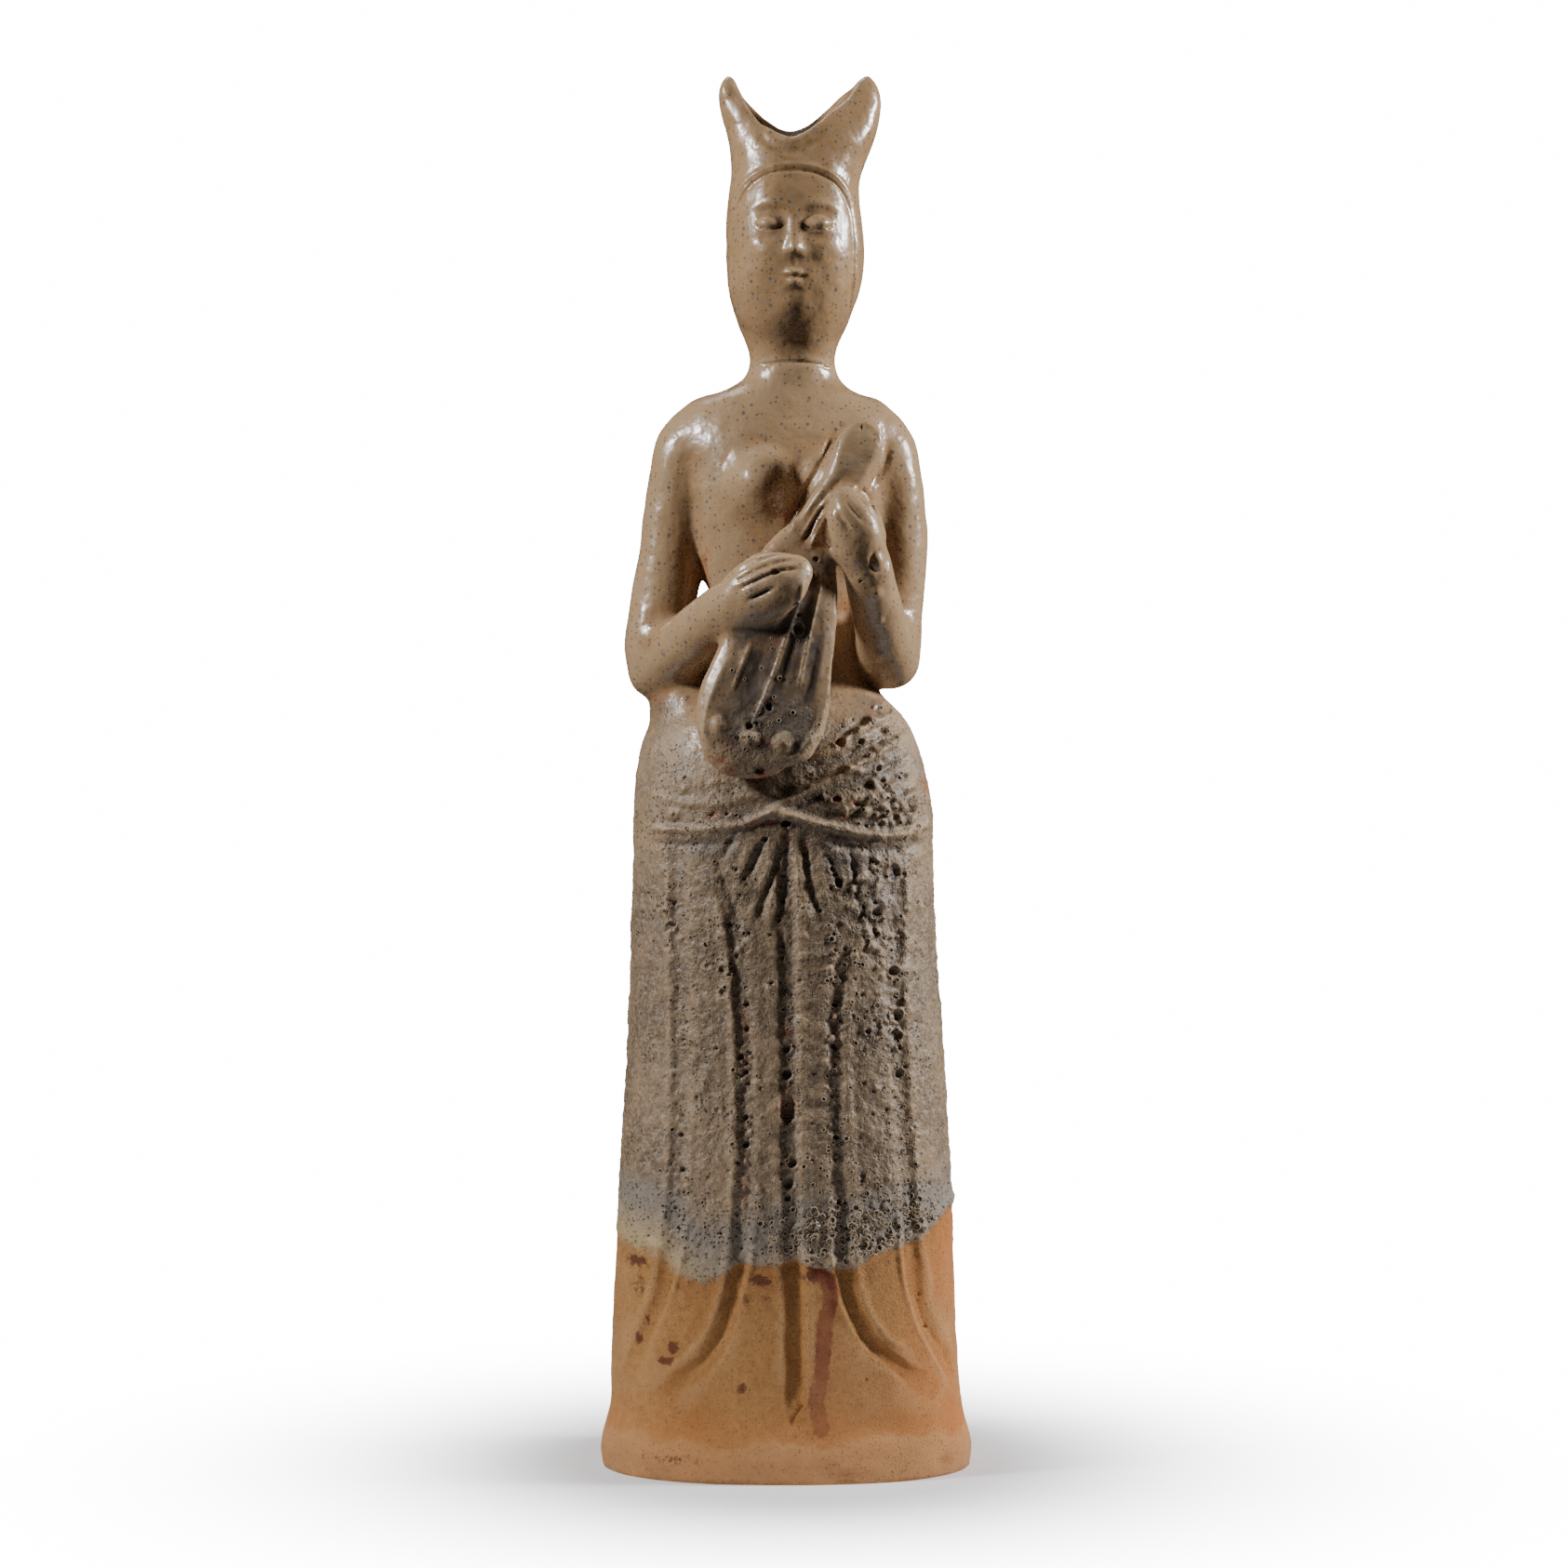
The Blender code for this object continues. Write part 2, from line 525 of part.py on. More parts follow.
def stroke_line(points):
    """A stroke's points joined by one smooth curve, as short straight pieces."""
    points = np.array(points, float)
    run = np.append(0, np.cumsum(np.linalg.norm(np.diff(points, axis=0), axis=1)))
    return read_between(run, points, np.linspace(0, run[-1], max(3, int(run[-1] / 2.5))))


def distance_to_line(places, line):
    """How far each (X, Z) place lies from a line of short straight pieces."""
    nearest = np.full(len(places), np.inf)
    for start, end in zip(line, line[1:]):
        way = end - start
        share = np.clip((places - start) @ way / (way @ way), 0, 1)
        gap = np.linalg.norm(places - start - share[:, None] * way, axis=1)
        nearest = np.minimum(nearest, gap)
    return nearest


def rounded(share):
    """1 at 0, 0 at 1 and beyond, and smooth all the way."""
    return 0.5 + 0.5 * np.cos(math.pi * np.clip(share, 0, 1))


def carved_height(points, normals):
    """How far each point of the front is raised or cut by the strokes and mounds."""
    height = np.zeros(len(points))
    facing = np.clip(-normals[:, 1] * 1.6, 0, 1)
    places = points[:, [0, 2]]

    def stroke(drawn, half_width, amount, deep, shallow):
        line = stroke_line(drawn)
        low, high = line.min(axis=0) - half_width, line.max(axis=0) + half_width
        near = (places > low).all(axis=1) & (places < high).all(axis=1)
        near &= (points[:, 1] > deep) & (points[:, 1] < shallow) & (facing > 0)
        gap = distance_to_line(places[near], line)
        height[near] += amount * rounded(gap / half_width) * facing[near]

    def mound(x, z, half_x, half_z, amount, deep, shallow):
        reach = np.hypot((places[:, 0] - x) / half_x, (places[:, 1] - z) / half_z)
        near = (reach < 1) & (points[:, 1] > deep) & (points[:, 1] < shallow)
        height[near] += amount * rounded(reach[near]) * facing[near]

    for strokes, deep, shallow in STROKE_GROUPS:
        for drawn, half_width, amount in strokes:
            stroke(drawn, half_width, amount, deep, shallow)
    for drawn, half_width, amount in FACE_STROKES:
        stroke(drawn, half_width, amount, -40.0, -10.0)
    for row in LUTE_MOUNDS:
        mound(*row, -60.0, -38.0)
    for row in FACE_MOUNDS:
        mound(*row, -40.0, -10.0)
    return height


# Plain upright folds on the back of the skirt: X at the hip, X at the hem.
BACK_FOLDS = [(-33, -44), (-16, -21), (1, 1), (18, 22), (34, 45)]
BACK_FOLD_HEIGHTS = (34.0, 214.0)
BACK_FOLD_HALF_WIDTH = 3.4
BACK_FOLD_DEPTH = 2.0


def back_height(points, normals):
    """How far the folds of the back cut in."""
    height = np.zeros(len(points))
    facing = np.clip(normals[:, 1] * 1.6, 0, 1)
    low, high = BACK_FOLD_HEIGHTS
    share = np.clip((high - points[:, 2]) / (high - low), 0, 1)
    fading = np.clip((points[:, 2] - low) / 12, 0, 1) * np.clip((high - points[:, 2]) / 12, 0, 1)
    for at_hip, at_hem in BACK_FOLDS:
        middle = at_hip + (at_hem - at_hip) * share ** 2
        gap = np.abs(points[:, 0] - middle) / BACK_FOLD_HALF_WIDTH
        height -= BACK_FOLD_DEPTH * rounded(gap) * facing * fading
    return height


def carve(mesh):
    """Moves the mesh's points along their normals by the strokes."""
    count = len(mesh.vertices)
    points = np.empty(count * 3, np.float32)
    normals = np.empty(count * 3, np.float32)
    mesh.vertices.foreach_get("co", points)
    mesh.vertices.foreach_get("normal", normals)
    points = points.reshape(-1, 3).astype(float) / UNIT
    normals = normals.reshape(-1, 3).astype(float)
    height = carved_height(points, normals) + back_height(points, normals)
    points += normals * height[:, None]
    mesh.vertices.foreach_set("co", (points * UNIT).astype(np.float32).ravel())
    mesh.update()


def largest_shell(shape):
    """Deletes any small shell that the fusing left inside the clay."""
    shape.verts.ensure_lookup_table()
    unseen = set(shape.verts)
    shells = []
    while unseen:
        shell = {unseen.pop()}
        edge_of_search = list(shell)
        while edge_of_search:
            vert = edge_of_search.pop()
            for edge in vert.link_edges:
                other = edge.other_vert(vert)
                if other in unseen:
                    unseen.discard(other)
                    shell.add(other)
                    edge_of_search.append(other)
        shells.append(shell)
    shells.sort(key=len)
    for shell in shells[:-1]:
        bmesh.ops.delete(shape, geom=list(shell), context="VERTS")


def cut_flat_below(shape):
    """Cuts the figure off level at Z 0 and closes the underside with one flat face."""
    everything = list(shape.verts) + list(shape.edges) + list(shape.faces)
    cut = bmesh.ops.bisect_plane(
        shape, geom=everything, plane_co=(0, 0, 0), plane_no=(0, 0, 1), clear_inner=True
    )
    rim = [piece for piece in cut["geom_cut"] if isinstance(piece, bmesh.types.BMEdge)]
    bmesh.ops.edgeloop_fill(shape, edges=rim)


def clay_material():
    """Plain glazed clay for the solid."""
    material = bpy.data.materials.new("glazed_clay")
    material.use_nodes = True
    shader = material.node_tree.nodes["Principled BSDF"]
    shader.inputs["Base Color"].default_value = CLAY_COLOUR
    shader.inputs["Roughness"].default_value = CLAY_ROUGHNESS
    shader.inputs["Metallic"].default_value = 0.0
    return material


def tomb_musician():
    """The whole figure as one closed object."""
    rough = rough_figure()
    mesh = fused(rough)
    remove(rough)
    carve(mesh)
    dense = bpy.data.objects.new("dense_figure", mesh)
    bpy.context.scene.collection.objects.link(dense)
    thin_out = dense.modifiers.new("Fewer faces", "DECIMATE")
    thin_out.ratio = SOLID_TRIANGLES / sum(len(face.vertices) - 2 for face in mesh.polygons)
    shape = bmesh.new()
    shape.from_mesh(evaluated_mesh(dense))
    remove(dense)
    largest_shell(shape)
    cut_flat_below(shape)
    figure = mesh_object("musician_figure", shape)
    figure.data.shade_smooth()
    figure.data.materials.append(clay_material())
    return figure


for existing in list(bpy.data.objects):
    bpy.data.objects.remove(existing)
tomb_musician()
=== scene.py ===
"""The standing lute player, a tomb figure of glazed stoneware, with its carving and its glaze.

Tables are in units of a five-hundredth of the figure's height, a millimetre at the real size.
X runs to the right as the viewer sees it, the figure faces -Y and stands on Z 0. Left and right
are the viewer's.
"""

import math

import bmesh
import bpy
import numpy as np
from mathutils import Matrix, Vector
from mathutils.bvhtree import BVHTree


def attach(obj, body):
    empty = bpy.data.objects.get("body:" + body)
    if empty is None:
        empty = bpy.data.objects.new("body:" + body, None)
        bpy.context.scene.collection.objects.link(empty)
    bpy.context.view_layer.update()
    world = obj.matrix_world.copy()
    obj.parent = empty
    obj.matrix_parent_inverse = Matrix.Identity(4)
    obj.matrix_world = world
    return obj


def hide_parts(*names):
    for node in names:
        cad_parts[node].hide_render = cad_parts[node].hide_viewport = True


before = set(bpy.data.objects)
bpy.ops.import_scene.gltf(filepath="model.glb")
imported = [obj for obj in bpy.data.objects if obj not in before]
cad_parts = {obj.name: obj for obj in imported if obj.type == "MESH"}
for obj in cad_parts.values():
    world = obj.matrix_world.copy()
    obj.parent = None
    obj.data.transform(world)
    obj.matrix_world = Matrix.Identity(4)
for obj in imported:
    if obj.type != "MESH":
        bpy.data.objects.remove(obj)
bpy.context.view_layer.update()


# The skirt and its foot are the lower half of the figure: a tall, slightly squared drum of
# stoneware clay that turns out at the ground. Its folds were pressed in while the clay was wet.

FIGURE_HEIGHT = 0.500
UNIT = FIGURE_HEIGHT / 500
RING_POINTS = 160
SKIRT_SECTIONS = [
    # height, centre X, half width, depth in front, depth behind, squareness
    (-8, -0.8, 63.6, 48.0, 45.5, 2.35),
    (20, -0.8, 63.6, 47.5, 45.0, 2.35),
    (40, -1.7, 62.8, 46.5, 44.0, 2.35),
    (60, -1.7, 61.8, 45.5, 43.0, 2.35),
    (80, -1.3, 61.0, 44.5, 42.5, 2.35),
    (110, -1.3, 59.5, 43.5, 41.5, 2.35),
    (150, -1.2, 57.3, 42.0, 40.5, 2.35),
    (190, -2.0, 55.2, 40.5, 39.5, 2.3),
    (220, -2.1, 54.2, 39.5, 39.0, 2.3),
    (240, -2.2, 53.8, 39.5, 39.0, 2.3),
    (252, -2.9, 51.9, 38.5, 38.5, 2.25),
    (262, -3.4, 49.2, 36.5, 37.0, 2.2),
]
FOOT_HEIGHT = 24
FOOT_OVERHANG = 4.0
FOOT_PROFILE = [(-0.35, 0.6), (0.0, 0.72), (0.1, 0.93), (0.22, 1.0), (0.42, 0.84), (0.62, 0.46),
                (0.8, 0.12), (1.0, -0.3)]

# A stroke is a line of (X, Z) points on the front, a half width, a height (below 0 it cuts) and
# how much of its half width is flat.
SKIRT_STROKES = [
    ([(-1.0, 222), (-0.6, 176), (0.3, 136), (0.6, 97), (2.2, 64), (2.4, 24)], 4.4, -2.5, 0.35),
    ([(-23, 211), (-19.5, 200), (-17, 181), (-15.4, 156), (-15, 130), (-15.6, 100), (-16.8, 82),
      (-19.5, 65), (-24.6, 50), (-30, 42), (-38, 35.5), (-43, 31)], 4.4, -2.1, 0.2),
    ([(-39.6, 232), (-38.8, 196), (-38.2, 165), (-38.4, 130), (-39.6, 97), (-42.4, 75),
      (-45.6, 63), (-50, 53), (-54, 43), (-57, 34)], 4.2, -2.0, 0.2),
    ([(20.6, 189), (18.0, 180), (16.6, 163), (16.5, 130), (18.6, 100), (19.6, 72), (23.0, 60),
      (28, 50.5), (34, 44), (42, 37.5), (50, 31)], 4.4, -2.1, 0.2),
    ([(38.2, 222), (37.4, 170), (38.8, 143), (41.2, 107), (43.2, 79), (46.2, 62), (51.6, 49),
      (57.4, 38), (59.8, 30)], 4.2, -2.0, 0.2),
    # One edge of every fold stands a little proud.
    ([(-25.5, 208), (-21.5, 181), (-19.8, 156), (-19.4, 130), (-20.2, 100), (-21.6, 82),
      (-24.6, 66), (-30, 52), (-38, 43), (-45, 38)], 2.6, 1.1, 0.0),
    ([(-43.6, 215), (-42.6, 165), (-42.8, 130), (-44.2, 97), (-47.2, 75), (-51, 60)], 2.6, 0.9, 0.0),
    ([(22.4, 183), (21.2, 163), (21.2, 130), (23.4, 100), (24.6, 73), (28.4, 61), (34, 52),
      (44, 45)], 2.6, 1.1, 0.0),
    ([(42.6, 215), (42.2, 170), (43.4, 143), (45.8, 107), (48, 80), (51.2, 64)], 2.6, 0.9, 0.0),
    ([(-6.2, 214), (-5.6, 140), (-4.8, 97), (-3.4, 64), (-3, 34)], 2.6, 0.5, 0.0),
    ([(4.8, 210), (5.2, 140), (6.2, 97), (7.6, 64), (7.8, 30)], 2.6, 0.6, 0.0),
    # Sharp inner edges where the folds swing out over the hem.
    ([(-35.4, 96), (-38.2, 76), (-44.0, 60), (-50.6, 46), (-55.0, 36)], 1.7, 0.9, 0.0),
    ([(-11.6, 96), (-13.4, 78), (-18.6, 60), (-27.6, 43), (-38.0, 32.6)], 1.7, 0.9, 0.0),
    ([(14.6, 96), (15.6, 76), (20.6, 58), (29.0, 45.6), (41.0, 34)], 1.7, 0.9, 0.0),
    ([(38.4, 96), (39.6, 78), (43.4, 60), (50.6, 43), (57.0, 31)], 1.7, 0.9, 0.0),
]
# Drying cracks and knocks in the bare hem and foot.
HEM_CRACKS = [
    ([(5.9, 29.6), (3.9, 26.4), (1.3, 23.0), (0.6, 20.4)], 0.9, -0.9, 0.0),
    ([(63.6, 17.0), (61.6, 13.6), (62.6, 10.0)], 0.9, -0.8, 0.0),
    ([(56.0, 44.0), (58.0, 37.5), (59.4, 32.0)], 0.9, -1.1, 0.0),
    ([(45.4, 66.0), (49.6, 54.0), (54.6, 45.6)], 0.9, -0.7, 0.0),
]
# Dents and mounds are (X, Z, half size X, half size Z, height).
HEM_DENTS = [
    (-57.0, 6.0, 7.0, 6.0, -1.0), (-43.0, 3.0, 8.0, 3.4, -0.6), (55.0, 7.0, 6.0, 6.0, -1.1),
    (58.0, 20.0, 3.6, 13.0, -0.9), (20.0, 2.5, 14.0, 3.0, -0.5), (-8.0, 4.0, 9.0, 3.0, -0.4),
    (55.6, 4.6, 4.4, 3.4, -1.8), (27.2, 36.5, 0.9, 0.9, -0.9), (50.1, 53.0, 0.9, 0.9, -0.9),
    (47.1, 64.9, 0.9, 0.9, -0.9), (-22.0, 12.0, 14.0, 5.0, -0.7), (30.0, 14.0, 16.0, 6.0, 0.6),
    (-52.0, 8.0, 6.0, 4.0, 0.7), (12.0, 6.0, 9.0, 4.0, -0.6),
]
# Short pleats fan out below the knot of the sash.
PLEAT_STROKES = [
    ([(-19.0, 230), (-21.0, 225), (-24.2, 218)], 2.2, -1.4, 0.0),
    ([(-7.9, 228.5), (-11.2, 221), (-15.2, 213)], 2.2, -1.7, 0.0),
    ([(-2.4, 225), (-7.9, 208), (-11.2, 198)], 2.2, -1.7, 0.0),
    ([(-0.2, 231), (-1.8, 209), (-6.7, 191)], 2.2, -1.4, 0.0),
    ([(5.4, 228), (7.8, 212), (11.6, 199)], 2.2, -1.8, 0.0),
    ([(14.0, 224), (16.2, 216), (18.2, 208)], 2.4, -1.6, 0.0),
    ([(20.0, 226), (23.6, 215), (24.4, 205)], 2.2, -1.4, 0.0),
    ([(-26, 222), (-21.5, 209), (-18.5, 199)], 2.0, -1.2, 0.0),
    ([(-13.4, 226), (-17.4, 214), (-20.0, 206)], 2.6, 0.8, 0.0),
    ([(-5.2, 224), (-10.6, 208), (-14.0, 197)], 2.4, 0.9, 0.0),
    ([(2.6, 226), (4.4, 210), (8.4, 196)], 2.4, 0.8, 0.0),
    ([(9.8, 226), (12.0, 212), (15.0, 202)], 2.4, 0.9, 0.0),
]
# The sash is wrapped round the hips in raised edges with shallow creases between them.
SASH_STROKES = [
    ([(-52, 231), (-38, 230.5), (-28, 231), (-18, 232.4), (-9.6, 235.6), (-1.4, 240.7),
      (11, 247.3), (28, 255.5), (40, 263)], 2.4, 1.7, 0.0),
    ([(-9.6, 235.5), (-4, 236.4), (7, 233.8), (24, 229.6), (41, 229), (53, 233.5)], 2.8, 2.2, 0.0),
    ([(-1, 237.4), (8, 241.2), (20, 246.4), (31, 250.6), (45, 257)], 1.8, -1.3, 0.0),
    ([(5, 255.5), (15, 259), (26, 266), (32, 268.6), (39, 271)], 2.2, 1.5, 0.0),
    ([(10, 238.5), (24, 241), (38, 245), (51, 251)], 4.2, 1.3, 0.3),
    ([(6, 251.5), (18, 256), (30, 261), (44, 267)], 1.8, -1.1, 0.0),
    ([(-52, 225.5), (-38, 225), (-26, 225.6), (-14, 227)], 2.4, -1.0, 0.0),
    ([(12, 226.4), (26, 223.8), (40, 223.4), (52, 226)], 2.4, -1.0, 0.0),
    ([(-50, 243), (-36, 240), (-20, 241), (-8, 244)], 2.6, 0.6, 0.0),
]
# The back has five plain folds, each from its X at the hip to its X at the hem.
BACK_FOLDS = [(-33, -44), (-16, -21), (1, 1), (18, 22), (34, 45)]
BACK_FOLD_HEIGHTS = (34.0, 214.0)
BACK_FOLD_WIDTH = 4.0
BACK_FOLD_DEPTH = 2.0


def read_between(keys, table, wanted):
    """A table's rows read at any keys, along a curve that passes smoothly through all of them."""
    keys = np.asarray(keys, float)
    table = np.asarray(table, float)
    step = np.diff(keys)[:, None]
    slope = np.diff(table, axis=0) / step
    inner = (slope[:-1] * step[1:] + slope[1:] * step[:-1]) / (step[1:] + step[:-1])
    tangent = np.vstack([slope[:1], inner, slope[-1:]])
    row = np.clip(np.searchsorted(keys, wanted, side="right") - 1, 0, len(keys) - 2)
    width = step[row]
    t = (np.asarray(wanted)[:, None] - keys[row][:, None]) / width
    return (
        (1 + 2 * t) * (1 - t) ** 2 * table[row]
        + t * (1 - t) ** 2 * width * tangent[row]
        + t * t * (3 - 2 * t) * table[row + 1]
        + t * t * (t - 1) * width * tangent[row + 1]
    )


def squared_circle(count, squareness):
    """Points of a unit superellipse: 2 is a circle, and more is squarer."""
    turn = np.linspace(0, 2 * math.pi, count, endpoint=False)
    power = 2 / squareness
    across = np.sign(np.cos(turn)) * np.abs(np.cos(turn)) ** power
    along = np.sign(np.sin(turn)) * np.abs(np.sin(turn)) ** power
    return across, along


def level_rings(sections, heights):
    """Level rings of clay at these heights."""
    table = np.array(sections, float)
    rings = []
    for z, row in zip(heights, read_between(table[:, 0], table[:, 1:], heights)):
        x, half_width, front, back, squareness = row
        across, along = squared_circle(RING_POINTS, squareness)
        depth = np.where(along < 0, front, back)
        rings.append(
            np.stack([x + half_width * across, depth * along, np.full_like(across, z)], axis=1)
        )
    return rings


def foot_rings():
    """The turned-out foot: the lowest skirt section, pushed out most at the two sides."""
    rings = level_rings(SKIRT_SECTIONS, np.full(len(FOOT_PROFILE), FOOT_HEIGHT))
    for ring, (share, push) in zip(rings, FOOT_PROFILE):
        outward = ring[:, :2] / np.linalg.norm(ring[:, :2], axis=1)[:, None]
        sideways = 0.5 + 0.5 * outward[:, :1] ** 2
        ring[:, :2] += outward * sideways * FOOT_OVERHANG * push
        ring[:, 2] = share * FOOT_HEIGHT
    return rings


def add_skin(clay, rings):
    """Adds a closed skin over rings of equally many points, with both ends capped."""
    made = [[clay.verts.new(point * UNIT) for point in ring] for ring in rings]
    count = len(rings[0])
    for lower, upper in zip(made, made[1:]):
        for i in range(count):
            after = (i + 1) % count
            clay.faces.new((lower[i], lower[after], upper[after], upper[i]))
    clay.faces.new(reversed(made[0]))
    clay.faces.new(made[-1])


# The bare torso and the arms are solid rolls of the same clay, joined at the shoulders and bent
# at the elbows, with the breasts and shoulder blades modelled on in low swellings.

# Rows are as in the skirt's sections.
TORSO_SECTIONS = [
    (269, -3.2, 45.5, 33.0, 34.0, 2.2),
    (275, -2.5, 39.5, 28.0, 29.5, 2.2),
    (280, -1.8, 33.0, 22.5, 25.0, 2.2),
    (287, -1.3, 27.8, 19.0, 21.5, 2.2),
    (298, -1.0, 25.6, 18.0, 20.0, 2.2),
    (309, -0.8, 25.8, 18.5, 19.7, 2.2),
    (319, -0.5, 29.8, 20.5, 20.2, 2.2),
    (330, 0.0, 33.5, 22.5, 21.0, 2.2),
    (348, 0.0, 36.5, 24.5, 22.5, 2.2),
    (362, 0.0, 38.5, 23.5, 22.5, 2.2),
    (372, -0.3, 40.0, 20.5, 21.0, 2.15),
    (378, -0.3, 38.8, 18.3, 19.0, 2.1),
    (382, -0.9, 34.5, 16.5, 17.5, 2.1),
    (386, -1.2, 26.8, 15.2, 16.5, 2.05),
    (389, 0.3, 20.5, 14.4, 16.0, 2.0),
]
# Rolls of clay: X, Y, Z, half width across, half thickness towards the front.
LEFT_UPPER_ARM = [
    (-29.5, 2.0, 376, 10.0, 12.0), (-35.3, 2.0, 368, 12.4, 13.0), (-38.8, 2.0, 356, 12.0, 12.6),
    (-41.0, 2.0, 344, 11.6, 12.2), (-42.4, 2.0, 332, 11.6, 12.2), (-44.2, 1.4, 318, 12.1, 12.5),
    (-46.4, 0.4, 305, 12.2, 12.5), (-47.4, -1.5, 294, 12.2, 12.4), (-47.4, -3.0, 287, 11.0, 11.4),
]
LEFT_FOREARM = [
    (-47.6, -3.0, 287, 11.2, 11.2), (-41.0, -11.0, 292, 11.7, 11.3),
    (-33.0, -23.0, 299, 10.9, 10.3), (-26.0, -33.0, 305, 10.3, 9.3),
    (-19.5, -41.0, 309.2, 10.3, 8.0), (-15.0, -45.0, 311.5, 9.5, 7.0),
]
RIGHT_UPPER_ARM = [
    (28.5, 2.0, 376, 10.0, 12.0), (33.8, 2.0, 367, 12.0, 13.0), (36.9, 2.0, 355, 11.6, 12.4),
    (38.7, 2.0, 343, 11.3, 12.0), (39.3, 2.0, 331, 11.2, 12.0), (38.5, 1.4, 318, 11.1, 12.0),
    (37.6, 0.4, 306, 11.0, 12.0), (37.2, -1.5, 296, 11.2, 12.0), (36.9, -3.0, 290, 10.4, 11.0),
]
RIGHT_FOREARM = [
    (36.9, -3.5, 290, 10.8, 10.8), (35.0, -12.0, 296, 10.6, 10.6), (32.2, -22.0, 305, 9.7, 9.6),
    (29.6, -31.0, 315, 9.2, 8.8), (27.6, -37.0, 324, 9.0, 7.8), (26.4, -39.5, 329, 8.2, 7.0),
]
# Swellings: centre, then half sizes along X, Y and Z.
TORSO_SWELLINGS = [
    [(-2.5, 26.0, 244.0), (38.0, 14.5, 24.0)],
    [(-0.5, 14.0, 360.0), (28.0, 9.5, 20.0)],
    [(-35.0, 2.0, 273.0), (15.5, 22.0, 16.0)],
    [(27.0, 1.0, 298.0), (8.0, 12.0, 18.0)],
]
BREASTS = [(-10.0, 354.4, 15.6, 15.6, 7.0), (15.6, 354.4, 14.6, 15.0, 6.4)]
ROLL_POINTS = 56
BALL_POINTS = 48


def roll_rings(stations, squareness=2.0, spacing=1.2):
    """Rings across a line of stations, flat side to the front, with both ends rounded off."""
    table = np.array(stations, float)
    run = np.append(0, np.cumsum(np.linalg.norm(np.diff(table[:, :3], axis=0), axis=1)))
    rows = read_between(run, table, np.linspace(0, run[-1], max(5, int(run[-1] / spacing))))
    centres = rows[:, :3]
    ahead = np.gradient(centres, axis=0)
    ahead /= np.linalg.norm(ahead, axis=1)[:, None]
    side = np.cross(ahead, (0.0, -1.0, 0.0))
    side /= np.linalg.norm(side, axis=1)[:, None]
    toward = np.cross(side, ahead)
    across, along = squared_circle(ROLL_POINTS, squareness)
    rings = [
        c + np.outer(across * w, s) + np.outer(along * d, t)
        for c, s, t, w, d in zip(centres, side, toward, rows[:, 3], rows[:, 4])
    ]
    for end, way in ((0, -1), (-1, 1)):
        bulge = min(rows[end, 3], rows[end, 4])
        cap = []
        for angle in np.radians((18, 36, 54, 72)):
            shrunk = centres[end] + (rings[end] - centres[end]) * math.cos(angle)
            cap.append(shrunk + way * ahead[end] * bulge * math.sin(angle))
        rings = cap[::-1] + rings if end == 0 else rings + cap
    return rings


def ball_rings(centre, half_sizes):
    """A ball of clay squeezed to these half sizes, as level rings."""
    across, along = squared_circle(BALL_POINTS, 2.0)
    rings = []
    for angle in np.radians(np.linspace(-86, 86, 23)):
        width = math.cos(angle)
        ring = [half_sizes[0] * width * across, half_sizes[1] * width * along,
                np.full(BALL_POINTS, half_sizes[2] * math.sin(angle))]
        rings.append(np.array(centre) + np.stack(ring, axis=1))
    return rings


# The head wears a close hood, incised round the face, that rises into two horns with a valley
# between them. Its front lip is rolled over, and a seam shows where the neck was luted on.

HEAD_SECTIONS = [
    (392, 1.0, 16.9, 14.0, 15.7, 2.0),
    (396, 1.3, 15.8, 14.0, 15.5, 2.0),
    (401, 1.3, 15.8, 14.3, 15.7, 2.0),
    (404, 1.3, 16.7, 15.8, 16.6, 2.0),
    (408, 1.3, 18.5, 18.8, 18.6, 2.0),
    (412, 1.4, 20.2, 21.4, 20.6, 2.05),
    (416, 1.6, 21.7, 23.2, 22.4, 2.1),
    (424, 2.0, 23.9, 25.0, 24.8, 2.15),
    (432, 2.3, 24.8, 25.6, 26.3, 2.15),
    (440, 2.3, 25.0, 25.8, 27.0, 2.15),
    (448, 2.0, 24.5, 25.4, 27.0, 2.15),
    (456, 1.7, 23.7, 24.2, 26.6, 2.1),
    (462, 2.1, 23.4, 22.6, 26.0, 2.1),
    (468, 3.2, 24.0, 20.6, 25.0, 2.15),
    (474, 4.1, 25.6, 18.4, 23.6, 2.2),
    (480, 4.7, 27.2, 15.8, 21.0, 2.3),
    (486, 4.4, 28.8, 12.6, 17.0, 2.4),
    (492, 3.8, 29.6, 9.2, 12.4, 2.5),
    (497, 3.6, 28.6, 6.6, 8.4, 2.6),
    (501, 3.2, 26.0, 4.2, 5.2, 2.6),
]
BODY_RINGS = 340
